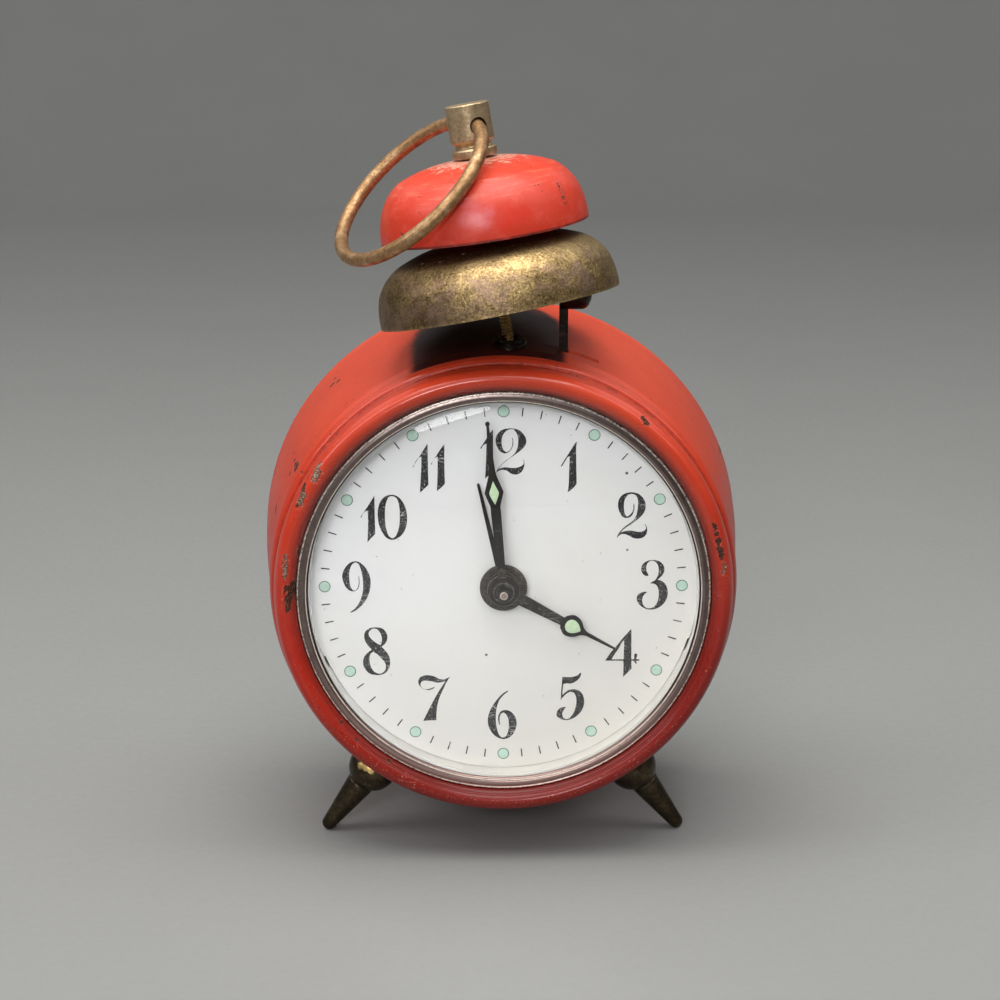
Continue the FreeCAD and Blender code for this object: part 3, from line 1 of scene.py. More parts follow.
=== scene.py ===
"""Looks of the wind-up alarm clock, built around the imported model. Everything is in metres in the row frame."""

import json
import math

import bmesh
import bpy
from mathutils import Matrix, Vector

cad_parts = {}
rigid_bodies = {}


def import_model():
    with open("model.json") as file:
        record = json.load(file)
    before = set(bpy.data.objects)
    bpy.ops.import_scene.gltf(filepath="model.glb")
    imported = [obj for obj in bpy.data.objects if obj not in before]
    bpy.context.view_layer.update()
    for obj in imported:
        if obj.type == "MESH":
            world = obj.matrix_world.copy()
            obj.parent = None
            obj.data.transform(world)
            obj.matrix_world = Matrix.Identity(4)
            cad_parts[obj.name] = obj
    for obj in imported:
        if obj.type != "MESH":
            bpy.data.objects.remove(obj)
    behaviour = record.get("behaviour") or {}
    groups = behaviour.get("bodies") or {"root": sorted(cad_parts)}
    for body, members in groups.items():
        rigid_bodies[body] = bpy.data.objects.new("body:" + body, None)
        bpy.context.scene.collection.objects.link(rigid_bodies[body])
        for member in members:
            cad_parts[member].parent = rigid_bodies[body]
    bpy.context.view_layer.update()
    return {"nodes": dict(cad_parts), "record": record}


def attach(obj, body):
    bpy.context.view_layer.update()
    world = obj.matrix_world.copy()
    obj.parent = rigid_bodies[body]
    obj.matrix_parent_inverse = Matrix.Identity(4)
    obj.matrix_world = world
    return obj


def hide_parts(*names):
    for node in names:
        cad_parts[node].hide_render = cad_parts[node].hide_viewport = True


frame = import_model()
NODES = frame["nodes"]
MM = 0.001

# Dial frame in millimetres (x right, y back from the dial's face, z up from the dial's centre) to the row frame.
DIAL_Y = -15.58
DIAL_Z = 41.8


def at(x, y, z):
    return Vector((x, y + DIAL_Y, z + DIAL_Z)) * MM


def unit(*v):
    return Vector(v).normalized()


# ------------------------------------------------------------------ camera
cam_data = bpy.data.cameras.new("camera")
cam_data.lens = 76.68
cam_data.sensor_width = 36.0
cam_data.sensor_fit = "HORIZONTAL"
cam_data.clip_start = 0.02
cam_data.clip_end = 20.0
cam = bpy.data.objects.new("camera", cam_data)
bpy.context.scene.collection.objects.link(cam)
look = unit(0.012488, 0.966739, -0.255460)
right = Vector((0.99992, -0.01282, 0.0004))
right = (right - look * right.dot(look)).normalized()
up = right.cross(look).normalized()
m = Matrix((right, up, -look)).transposed().to_4x4()
m.translation = Vector((-4.433, -318.955, 135.10)) * MM
cam.matrix_world = m
bpy.context.scene.camera = cam


# ------------------------------------------------------------------ node materials
class Mat:
    """A small writer of node materials. Lengths inside a material are millimetres of the row frame."""

    def __init__(self, name):
        self.m = bpy.data.materials.new(name)
        self.m.use_nodes = True
        self.nt = self.m.node_tree
        self.nt.nodes.clear()
        self.out = self.nt.nodes.new("ShaderNodeOutputMaterial")
        coord = self.nt.nodes.new("ShaderNodeTexCoord")
        self.p = self.vec("SCALE", coord.outputs["Object"], scale=1000.0)

    def put(self, socket, value):
        if isinstance(value, bpy.types.NodeSocket):
            self.nt.links.new(value, socket)
        elif isinstance(value, (tuple, list)) and len(value) == 3 and socket.type == "RGBA":
            socket.default_value = (*value, 1.0)
        elif isinstance(value, (int, float)) and socket.type == "RGBA":
            socket.default_value = (value, value, value, 1.0)
        else:
            socket.default_value = value

    def math(self, op, a, b=None, c=None, clamp=False):
        n = self.nt.nodes.new("ShaderNodeMath")
        n.operation = op
        n.use_clamp = clamp
        for i, v in enumerate((a, b, c)):
            if v is not None:
                self.put(n.inputs[i], v)
        return n.outputs[0]

    def vec(self, op, a, b=None, scale=None):
        n = self.nt.nodes.new("ShaderNodeVectorMath")
        n.operation = op
        self.put(n.inputs[0], a)
        if b is not None:
            self.put(n.inputs[1], b)
        if scale is not None:
            self.put(n.inputs["Scale"], scale)
        return n.outputs["Value"] if op in ("LENGTH", "DISTANCE", "DOT_PRODUCT") else n.outputs["Vector"]

    def noise(self, size, detail=3.0, rough=0.55, distort=0.0, p=None, colour=False):
        """Noise whose features are about size millimetres."""
        n = self.nt.nodes.new("ShaderNodeTexNoise")
        self.put(n.inputs["Vector"], p or self.p)
        self.put(n.inputs["Scale"], 1.0 / size)
        self.put(n.inputs["Detail"], float(detail))
        self.put(n.inputs["Roughness"], float(rough))
        self.put(n.inputs["Distortion"], float(distort))
        return n.outputs["Color" if colour else "Fac"]

    def cells(self, size, feature="F1", p=None, out="Distance", random=1.0):
        n = self.nt.nodes.new("ShaderNodeTexVoronoi")
        n.feature = feature
        self.put(n.inputs["Vector"], p or self.p)
        self.put(n.inputs["Scale"], 1.0 / size)
        self.put(n.inputs["Randomness"], float(random))
        return n.outputs[out]

    def span(self, v, a, b, c=0.0, d=1.0, smooth=False):
        n = self.nt.nodes.new("ShaderNodeMapRange")
        n.interpolation_type = "SMOOTHSTEP" if smooth else "LINEAR"
        n.clamp = True
        for i, x in enumerate((v, a, b, c, d)):
            self.put(n.inputs[i], x)
        return n.outputs[0]

    def band(self, v, centre, half, soft):
        """1 inside centre +- half, falling to 0 over soft."""
        d = self.math("ABSOLUTE", self.math("SUBTRACT", v, centre))
        return self.span(d, half, half + soft, 1.0, 0.0, smooth=True)

    def mix(self, fac, a, b, blend="MIX"):
        n = self.nt.nodes.new("ShaderNodeMix")
        n.data_type = "RGBA"
        n.blend_type = blend
        n.clamp_factor = True
        self.put(n.inputs[0], fac)
        self.put(n.inputs[6], a)
        self.put(n.inputs[7], b)
        return n.outputs[2]

    def blendf(self, fac, a, b):
        n = self.nt.nodes.new("ShaderNodeMix")
        n.data_type = "FLOAT"
        n.clamp_factor = True
        self.put(n.inputs[0], fac)
        self.put(n.inputs[2], a)
        self.put(n.inputs[3], b)
        return n.outputs[0]

    def ramp(self, fac, stops):
        n = self.nt.nodes.new("ShaderNodeValToRGB")
        r = n.color_ramp
        while len(r.elements) > 1:
            r.elements.remove(r.elements[-1])
        r.elements[0].position = stops[0][0]
        r.elements[0].color = (*stops[0][1], 1.0)
        for pos, col in stops[1:]:
            e = r.elements.new(pos)
            e.color = (*col, 1.0)
        self.put(n.inputs[0], fac)
        return n.outputs[0]

    def bump(self, height, mm, normal=None, strength=1.0, invert=False):
        n = self.nt.nodes.new("ShaderNodeBump")
        n.invert = invert
        self.put(n.inputs["Strength"], strength)
        self.put(n.inputs["Distance"], mm * MM)
        self.put(n.inputs["Height"], height)
        if normal is not None:
            self.put(n.inputs["Normal"], normal)
        return n.outputs[0]

    def xyz(self, p=None):
        n = self.nt.nodes.new("ShaderNodeSeparateXYZ")
        self.put(n.inputs[0], p or self.p)
        return n.outputs[0], n.outputs[1], n.outputs[2]

    def dial_polar(self):
        """Radius from the dial's axis, depth behind the dial's face, and the offsets x and z from the axis."""
        x, y, z = self.xyz()
        zz = self.math("SUBTRACT", z, DIAL_Z)
        r = self.math("SQRT", self.math("ADD", self.math("MULTIPLY", x, x), self.math("MULTIPLY", zz, zz)))
        return r, self.math("SUBTRACT", y, DIAL_Y), x, zz

    def shader(self, **kw):
        n = self.nt.nodes.new("ShaderNodeBsdfPrincipled")
        names = {
            "color": "Base Color", "metallic": "Metallic", "rough": "Roughness", "normal": "Normal", "ior": "IOR",
            "coat": "Coat Weight", "coat_rough": "Coat Roughness", "coat_ior": "Coat IOR", "coat_normal": "Coat Normal",
            "transmission": "Transmission Weight", "specular": "Specular IOR Level", "sheen": "Sheen Weight",
            "emission": "Emission Color", "glow": "Emission Strength", "sss": "Subsurface Weight",
            "sss_radius": "Subsurface Radius", "sss_scale": "Subsurface Scale", "alpha": "Alpha",
        }
        for k, v in kw.items():
            self.put(n.inputs[names[k]], v)
        self.nt.links.new(n.outputs[0], self.out.inputs["Surface"])
        return n


def spots(mat, points, wobble):
    """Smallest distance to any of the spots (x, y, z, radius in millimetres), in radii, with ragged edges."""
    p = mat.vec("ADD", mat.p, mat.vec("SCALE", mat.vec("SUBTRACT", mat.noise(0.85, 5, 0.78, colour=True), (0.5, 0.5, 0.5)), scale=wobble))
    best = None
    for x, y, z, r in points:
        d = mat.math("MULTIPLY", mat.vec("DISTANCE", p, (x, y, z)), 1.0 / r)
        best = d if best is None else mat.math("MINIMUM", best, d)
    return best


def scratches(mat, length, width, density, turn=(0.3, 0.5, 0.2)):
    """Thin straight scratches: edges of stretched cells, kept in patches."""
    n = mat.nt.nodes.new("ShaderNodeMapping")
    mat.put(n.inputs["Vector"], mat.p)
    n.inputs["Rotation"].default_value = turn
    n.inputs["Scale"].default_value = (1.0 / length, 1.0 / width, 1.0 / width)
    e = mat.cells(1.0, feature="DISTANCE_TO_EDGE", p=n.outputs[0])
    line = mat.span(e, 0.0, 0.035, 1.0, 0.0, smooth=True)
    keep = mat.span(mat.noise(length * 0.7, 2), 1.0 - density, 1.0 - density + 0.06, 0.0, 1.0, smooth=True)
    return mat.math("MULTIPLY", line, keep)


# ------------------------------------------------------------------ the finishes
def red_paint(name, dark_chips=(), tan_chips=(), bezel=False, bell=None):
    """Baked enamel over steel: painted light from above on the upper side, painted shade on the lower side, orange
    peel, chips down to rusty metal and grey primer.
    """
    m = Mat(name)
    wide = m.noise(14.0, 3, 0.5)
    fine = m.noise(1.8, 4, 0.65)
    grit = m.noise(0.28, 3, 0.7)
    base = m.ramp(m.math("ADD", m.math("MULTIPLY", wide, 0.6), m.math("MULTIPLY", fine, 0.4)),
                  [(0.30, (0.385, 0.0125, 0.0045)), (0.50, (0.465, 0.0200, 0.0066)), (0.72, (0.530, 0.0320, 0.0105))])
    r, yd, x, z = m.dial_polar()
    soot_and_shade_noise = m.noise(1.3, 5, 0.7)
    # painted light from above: the upper side lighter and more orange, together with some fading of the paint
    if bell:
        centre, axis, top = bell
        h = m.vec("DOT_PRODUCT", m.vec("SUBTRACT", m.p, tuple(centre)), tuple(axis))
        top_light_and_fade = m.span(h, 1.0, top, 0.30, 0.85)
    else:
        top_light_and_fade = m.span(z, -14.0, 30.0, 0.0, 0.80 if not bezel else 0.55, smooth=True)
    top_light_and_fade = m.math("MULTIPLY", top_light_and_fade, m.span(wide, 0.25, 0.75, 0.75, 1.0))
    base = m.mix(top_light_and_fade, base, (0.720, 0.0830, 0.0285) if not bell else (0.800, 0.0900, 0.0360))
    if not bell:
        # painted shade: the lower side darker, more so towards the lower left
        base = m.mix(m.span(m.math("SUBTRACT", z, m.math("MULTIPLY", x, 0.36)), 6.0, -28.0, 0.0, 0.95, smooth=True), base, (0.265, 0.0105, 0.0045) if not bezel else (0.175, 0.0062, 0.0028))
    base = m.mix(m.span(grit, 0.30, 0.72, 0.16, 0.0), base, (0.30, 0.012, 0.008))
    if bell:
        base = m.mix(0.5, base, (0.600, 0.0330, 0.0140))
    # thin paint rubbed lighter in short scuffs
    rub = m.math("MULTIPLY", scratches(m, 9.0, 0.9, 0.36, (0.2, 0.9, 0.5)), 0.30)
    base = m.mix(rub, base, (0.66, 0.22, 0.15))
    chips = None
    if bezel:
        # the groove between bead and roll: dirt together with painted shade
        groove_soot_and_shade = m.math("MULTIPLY", m.band(yd, -1.70, 0.10, 0.50), m.span(soot_and_shade_noise, 0.40, 0.60, 0.25, 1.0))
        base = m.mix(m.math("MULTIPLY", groove_soot_and_shade, 0.62), base, (0.085, 0.009, 0.007))
        # the edge against the ring: painted shade, deeper on the upper side where the slope faces down, with a few
        # chips through
        lip_shade = m.math("MULTIPLY", m.span(r, 31.55, 30.70, 0.0, 1.0), m.span(z, -6.0, 22.0, 0.50, 0.92))
        base = m.mix(lip_shade, base, (0.100, 0.0065, 0.0040))
        edge = m.span(r, 30.80, 30.55, 0.0, 1.0)
        worn = m.math("GREATER_THAN", m.math("ADD", m.math("MULTIPLY", edge, 0.20), m.noise(0.60, 5, 0.7)), 0.80)
        # pinholes along the bead and the outer side of the roll
        pin = m.math("LESS_THAN", m.cells(0.62), 0.17)
        where = m.math("MAXIMUM", m.band(yd, -1.0, 0.9, 0.7), m.math("MULTIPLY", m.span(z, -6.0, -26.0, 0.0, 1.0), m.span(yd, -3.0, -4.4, 0.0, 0.85)))
        patch = m.span(m.noise(3.4, 2), 0.50, 0.60)
        pin = m.math("MULTIPLY", pin, m.math("GREATER_THAN", m.math("MULTIPLY", where, patch), 0.4))
        chips = m.math("MAXIMUM", worn, pin)
        # pale flecks along the crest of the roll, more of them lower down: knocks in the paint, partly a painted broken
        # highlight
        level = m.span(z, -4.0, -24.0, 0.655, 0.615)
        crest_flecks_and_glint = m.math("MULTIPLY", m.band(r, 32.1, 0.35, 0.5), m.math("GREATER_THAN", m.noise(0.34, 5, 0.78), level))
        base = m.mix(m.math("MULTIPLY", crest_flecks_and_glint, 0.55), base, (0.80, 0.44, 0.32))
    else:
        pin = m.math("LESS_THAN", m.cells(0.9), 0.13)
        patch = m.span(m.noise(5.0, 2), 0.57, 0.63)
        chips = m.math("MULTIPLY", pin, patch)
        if not bell:
            # painted shadow of the bells on the top of the case, darkest right under them
            cx, cy, cz = m.xyz()
            dx = m.math("DIVIDE", m.math("ADD", cx, 2.2), 11.6)
            dy = m.math("DIVIDE", m.math("ADD", cy, 5.0), 18.0)
            dy = m.math("MULTIPLY", dy, dy)
            d = m.math("ADD", m.math("ADD", m.math("MULTIPLY", dx, dx), m.math("MULTIPLY", dy, dy)), m.math("MULTIPLY", soot_and_shade_noise, 0.22))
            shade = m.math("MULTIPLY", m.span(d, 1.20, 0.94, 0.0, 0.96, smooth=True), m.span(z, 28.0, 31.0))
            base = m.mix(shade, base, (0.020, 0.0045, 0.0035))
    if bell:
        edge = m.math("GREATER_THAN", m.math("ADD", m.math("MULTIPLY", m.span(h, 0.30, 0.0), 0.26), m.noise(0.9, 4, 0.7)), 0.80)
        chips = m.math("MAXIMUM", chips, edge)
        # the crown is rubbed pale around the nut, with rings of light scuffs round the shoulder
        crown = m.math("GREATER_THAN", m.math("ADD", m.math("MULTIPLY", m.span(h, top - 1.25, top - 0.05), 0.30), m.noise(0.8, 5, 0.7)), 0.715)
        base = m.mix(m.math("MULTIPLY", crown, 0.75), base, (0.66, 0.40, 0.29))
        base = m.mix(m.span(m.noise(2.6, 4, 0.7), 0.50, 0.66, 0.0, 0.20), base, (0.80, 0.165, 0.120))
        # a painted highlight, a lilac sheen, on the front of the bell, and a more saturated red patch beside it
        sheen_highlight = m.math("MULTIPLY", m.span(spots(m, SHEEN, 1.2), 1.25, 0.45, smooth=True), m.span(m.noise(0.55, 4, 0.75), 0.36, 0.60, 0.35, 1.0))
        base = m.mix(m.math("MULTIPLY", sheen_highlight, 0.50), base, (0.640, 0.130, 0.165))
        base = m.mix(m.math("MULTIPLY", m.span(spots(m, RED_PATCH, 1.6), 1.25, 0.35, smooth=True), 0.60), base, (0.620, 0.0260, 0.0100))
        rim = m.math("MULTIPLY", m.span(h, 0.42, 0.24), m.span(m.noise(0.9, 4, 0.7), 0.36, 0.50, 0.45, 1.0))
        base = m.mix(m.math("MULTIPLY", rim, 0.80), base, (0.085, 0.012, 0.009))
        hatch = m.span(spots(m, RUBBED, 0.9), 1.15, 0.75)
        hatch = m.math("MULTIPLY", hatch, m.span(m.noise(0.20, 3, 0.7), 0.50, 0.56))
        base = m.mix(m.math("MULTIPLY", hatch, 0.62), base, (0.135, 0.022, 0.014))
        around = m.nt.nodes.new("ShaderNodeCombineXYZ")
        m.put(around.inputs[0], m.math("MULTIPLY", h, 1.0))
        sx, sy, sz = m.xyz()
        ang = m.math("ARCTAN2", m.math("SUBTRACT", sy, centre[1]), m.math("SUBTRACT", sx, centre[0]))
        m.put(around.inputs[1], m.math("MULTIPLY", ang, 1.1))
        streak = m.noise(0.42, 4, 0.6, p=around.outputs[0])
        streak = m.math("MULTIPLY", m.span(streak, 0.54, 0.70), m.band(h, 7.2, 0.8, 1.4))
        base = m.mix(m.math("MULTIPLY", streak, 0.55), base, (0.68, 0.21, 0.115))
    rust = m.noise(0.24, 4, 0.72)
    bare = m.mix(m.span(rust, 0.44, 0.54), (0.014, 0.006, 0.004), (0.105, 0.034, 0.018))
    bare = m.mix(m.math("GREATER_THAN", rust, 0.620), bare, (0.27, 0.12, 0.08))
    col = m.mix(chips, base, bare)
    mask = chips
    scuff = m.math("GREATER_THAN", m.noise(0.30, 4, 0.75), 0.57)
    if dark_chips:
        d = spots(m, dark_chips, 1.70)
        c = m.span(d, 1.02, 0.94, 0.0, 1.0)
        light = m.math("MULTIPLY", m.span(d, 1.75, 1.0, 0.0, 1.0), scuff)
        col = m.mix(m.math("MULTIPLY", light, 0.42), col, (0.80, 0.36, 0.26))
        col = m.mix(c, col, bare)
        mask = m.math("MAXIMUM", mask, c)
    if tan_chips:
        d = spots(m, tan_chips, 1.45)
        c = m.math("MULTIPLY", m.span(d, 1.02, 0.94, 0.0, 1.0), m.math("LESS_THAN", m.noise(0.42, 4, 0.75), 0.565))
        inside = m.mix(m.span(m.noise(0.24, 3, 0.7), 0.42, 0.55), (0.36, 0.27, 0.20), (0.085, 0.045, 0.033))
        inside = m.mix(m.math("MULTIPLY", m.span(d, 0.70, 0.92), m.math("GREATER_THAN", m.noise(0.5, 3), 0.46)), inside, (0.035, 0.014, 0.010))
        light = m.math("MULTIPLY", m.span(d, 1.9, 1.0, 0.0, 1.0), scuff)
        col = m.mix(m.math("MULTIPLY", light, 0.5), col, (0.85, 0.42, 0.30))
        col = m.mix(c, col, inside)
        mask = m.math("MAXIMUM", mask, c)
    n = m.bump(m.math("MULTIPLY", mask, -1.0), 0.035)
    n = m.bump(grit, 0.0045 if not bezel else 0.0025, n)
    n = m.bump(m.noise(0.9, 3, 0.6), 0.010 if not bezel else 0.0045, n)
    n = m.bump(m.noise(7.0, 2), 0.05 if not bezel else 0.018, n)
    rough = m.math("ADD", m.math("MULTIPLY", fine, 0.20), 0.36 if not bezel else 0.30)
    coat = m.span(m.noise(4.0, 3), 0.3, 0.7, 0.70 if bezel else 0.34, 0.40 if bezel else 0.14)
    coat = m.math("MULTIPLY", coat, m.span(z, 4.0, -22.0, 1.0, 0.45 if bezel else 1.0))
    m.shader(color=col, rough=m.blendf(mask, rough, 0.62), normal=n, specular=0.22 if bezel else 0.36,
             coat=m.math("MULTIPLY", m.math("SUBTRACT", 1.0, mask), coat), coat_rough=0.13 if bezel else 0.25, coat_normal=n)
    return m.m


def aged_metal(name, dark, mid, light, patch=4.0, grain=0.3, contrast=1.4, grain_amt=0.35, rough=(0.30, 0.52), metallic=1.0,
               bump_grain=0.006, scratch=0.0, lift=None, stain=None):
    """Patinated metal: patches, fine speckle, roughness that follows the patches."""
    m = Mat(name)
    a = m.noise(patch, 4, 0.6, 0.6)
    b = m.noise(patch * 0.32, 4, 0.65)
    g = m.noise(grain, 3, 0.75)
    f = m.math("ADD", m.math("MULTIPLY", a, 0.6), m.math("MULTIPLY", b, 0.4))
    f = m.math("ADD", m.math("MULTIPLY", m.math("SUBTRACT", f, 0.5), contrast), 0.5)
    f = m.math("ADD", f, m.math("MULTIPLY", m.math("SUBTRACT", g, 0.5), grain_amt), clamp=True)
    # lift adds brightness by place; for the brass bell it carries painted highlight and shade
    if lift:
        f = m.math("ADD", f, lift(m), clamp=True)
    col = m.ramp(f, [(0.12, dark), (0.5, mid), (0.88, light)])
    if stain:
        fac, tint = stain(m)
        col = m.mix(fac, col, tint)
    ro = m.span(f, 0.1, 0.9, rough[1], rough[0])
    n = m.bump(g, bump_grain)
    n = m.bump(b, bump_grain * 3.0, n)
    if scratch:
        s = scratches(m, 5.0, 0.5, scratch)
        n = m.bump(s, 0.01, n, invert=True)
        col = m.mix(m.math("MULTIPLY", s, 0.6), col, light)
    m.shader(color=col, metallic=metallic, rough=ro, normal=n)
    return m.m


def turned_metal(name, colour, tint, rough=0.25, axis="Y", lines=0.06, spots_amt=0.25, metallic=1.0):
    """Clean turned or lapped metal with fine machining lines and a few dull spots."""
    m = Mat(name)
    x, y, z = m.xyz()
    comb = m.nt.nodes.new("ShaderNodeCombineXYZ")
    for i, (v, k) in enumerate(((x, 0.12), (y, 1.0), (z, 0.12))):
        m.put(comb.inputs[i], m.math("MULTIPLY", v, k))
    line = m.noise(lines, 2, 0.6, p=comb.outputs[0])
    cloud = m.noise(3.0, 4, 0.6)
    col = m.mix(m.span(cloud, 0.35, 0.75), colour, tint)
    ro = m.math("ADD", m.math("MULTIPLY", m.math("SUBTRACT", line, 0.5), 0.16), m.span(cloud, 0.4, 0.8, rough, rough + spots_amt))
    n = m.bump(line, 0.0018)
    m.shader(color=col, metallic=metallic, rough=ro, normal=n)
    return m.m


def nickel_ring():
    """Plated ring: brownish body with painted reflections and painted shade, and pale broken lines at the outer edge
    and on the inner bead.
    """
    m = Mat("nickel_worn")
    a = m.noise(2.6, 4, 0.65)
    g = m.noise(0.30, 4, 0.7)
    r, yd, x, z = m.dial_polar()
    col = m.mix(m.span(a, 0.35, 0.70), (0.330, 0.270, 0.245), (0.215, 0.160, 0.145))
    col = m.mix(m.span(g, 0.40, 0.70, 0.0, 0.5), col, (0.150, 0.098, 0.085))
    # painted reflection: a dark line across the ring's body
    col = m.mix(m.math("MULTIPLY", m.band(r, 29.60, 0.05, 0.35), 0.45), col, (0.085, 0.058, 0.055))
    edge = m.math("MULTIPLY", m.span(r, 30.10, 30.20), m.span(m.noise(0.36, 4, 0.72), 0.42, 0.52))
    inner = m.math("MULTIPLY", m.band(r, 29.075, 0.055, 0.05), m.span(m.noise(0.5, 4, 0.72), 0.34, 0.46, 0.35, 1.0))
    light = m.math("MAXIMUM", edge, inner)
    col = m.mix(light, col, (0.86, 0.75, 0.66))
    # painted reflection of the bright dial on the lower part of the ring
    low_reflection = m.span(z, -8.0, -26.0, smooth=True)
    col = m.mix(m.math("MULTIPLY", low_reflection, m.math("MULTIPLY", m.math("SUBTRACT", 1.0, light), 0.62)), col, (0.520, 0.350, 0.310))
    # painted shade at the inner edge against the crystal, deeper at the top
    col = m.mix(m.math("MULTIPLY", m.span(r, 28.99, 28.93), m.span(low_reflection, 0.0, 1.0, 0.92, 0.35)), col, (0.045, 0.026, 0.022))
    # painted red reflection of the bezel along the outer edge
    red = m.math("MULTIPLY", m.span(r, 30.30, 30.38), m.math("GREATER_THAN", m.noise(0.8, 4, 0.7), 0.56))
    col = m.mix(m.math("MULTIPLY", red, 0.8), col, (0.30, 0.05, 0.035))
    edge = light
    pit = m.math("MULTIPLY", m.math("LESS_THAN", m.cells(0.8), 0.13), m.span(m.noise(4.0, 2), 0.46, 0.56))
    col = m.mix(m.math("MULTIPLY", pit, 0.85), col, (0.07, 0.045, 0.035))
    n = m.bump(g, 0.010)
    n = m.bump(a, 0.02, n)
    m.shader(color=col, metallic=m.math("SUBTRACT", 1.0, m.math("MULTIPLY", edge, 0.80)), rough=m.span(g, 0.3, 0.7, 0.27, 0.42), normal=n)
    return m.m


def clear_crystal():
    m = Mat("crystal_clear")
    haze = m.noise(0.5, 3, 0.7)
    g = m.nt.nodes.new("ShaderNodeBsdfPrincipled")
    m.put(g.inputs["Base Color"], (0.985, 0.992, 0.985))
    m.put(g.inputs["Transmission Weight"], 1.0)
    m.put(g.inputs["IOR"], 1.46)
    rough = m.math("MULTIPLY", scratches(m, 6.0, 0.35, 0.30, (0.4, 0.0, 0.7)), 0.05)
    m.put(g.inputs["Roughness"], m.math("ADD", rough, m.span(haze, 0.4, 0.9, 0.0, 0.012)))
    t = m.nt.nodes.new("ShaderNodeBsdfTransparent")
    lp = m.nt.nodes.new("ShaderNodeLightPath")
    mixer = m.nt.nodes.new("ShaderNodeMixShader")
    m.nt.links.new(lp.outputs["Is Shadow Ray"], mixer.inputs[0])
    m.nt.links.new(g.outputs[0], mixer.inputs[1])
    m.nt.links.new(t.outputs[0], mixer.inputs[2])
    m.nt.links.new(mixer.outputs[0], m.out.inputs["Surface"])
    return m.m


def dial_enamel(name, rim=False):
    m = Mat(name)
    cloud = m.noise(9.0, 4, 0.6)
    fine = m.noise(0.6, 4, 0.7)
    x, y, z = m.xyz()
    # painted shade: the enamel darker and warmer towards the lower right
    lower_right_shade = m.span(m.math("SUBTRACT", z, m.math("MULTIPLY", x, 0.6)), DIAL_Z + 18.0, DIAL_Z - 32.0, 0.0, 1.0)
    col = m.mix(lower_right_shade, (0.702, 0.701, 0.704), (0.618, 0.597, 0.555))
    col = m.mix(m.span(cloud, 0.42, 0.80, 0.0, 0.30), col, (0.66, 0.63, 0.56))
    col = m.mix(m.span(fine, 0.58, 0.80, 0.0, 0.16), col, (0.50, 0.47, 0.41))
    speck = m.math("MULTIPLY", m.math("LESS_THAN", m.cells(1.9), 0.055), m.span(m.noise(6.0, 1), 0.50, 0.56))
    col = m.mix(m.math("MULTIPLY", speck, 0.7), col, (0.16, 0.13, 0.10))
    if not rim:
        # two larger specks of dirt on the print
        for sx, sy, sz, sr in ((18.05, DIAL_Y, 59.0, 0.27), (-2.55, DIAL_Y, 31.05, 0.24), (18.3, DIAL_Y, 47.3, 0.2)):
            d = m.vec("DISTANCE", m.vec("MULTIPLY", m.p, (1.0, 0.0, 1.0)), (sx, 0.0, sz))
            col = m.mix(m.span(d, sr, sr * 0.6), col, (0.06, 0.05, 0.045))
    n = m.bump(fine, 0.003)
    n = m.bump(cloud, 0.02, n)
    m.shader(color=col, rough=m.span(fine, 0.3, 0.7, 0.42, 0.55), normal=n, coat=0.15, coat_rough=0.25)
    return m.m


def printed_ink(name, wear=0.575):
    """Black printing, worn through to the white in small specks and a few rubbed lines."""
    m = Mat(name)
    tone = m.mix(m.noise(1.2, 4), (0.006, 0.006, 0.007), (0.020, 0.019, 0.021))
    speck = m.math("GREATER_THAN", m.noise(0.26, 5, 0.80), wear)
    patch = m.span(m.noise(1.9, 3), 0.30, 0.50)
    line = m.math("MULTIPLY", scratches(m, 4.5, 0.5, 0.45, (0.0, 0.6, 0.0)), 0.9)
    mask = m.math("MAXIMUM", m.math("MULTIPLY", speck, patch), line)
    col = m.mix(m.math("MULTIPLY", mask, 0.80), tone, (0.62, 0.61, 0.59))
    m.shader(color=col, rough=0.5, normal=m.bump(m.noise(0.3, 3), 0.004), specular=0.15)
    return m.m


def lume(name, a, b, rough=0.6):
    m = Mat(name)
    f = m.noise(0.5, 4, 0.65)
    col = m.mix(m.span(f, 0.35, 0.7), a, b)
    pit = m.math("LESS_THAN", m.cells(0.32), 0.10)
    col = m.mix(m.math("MULTIPLY", pit, 0.35), col, (0.35, 0.36, 0.28))
    m.shader(color=col, rough=rough, normal=m.bump(f, 0.02), sss=0.0)
    return m.m


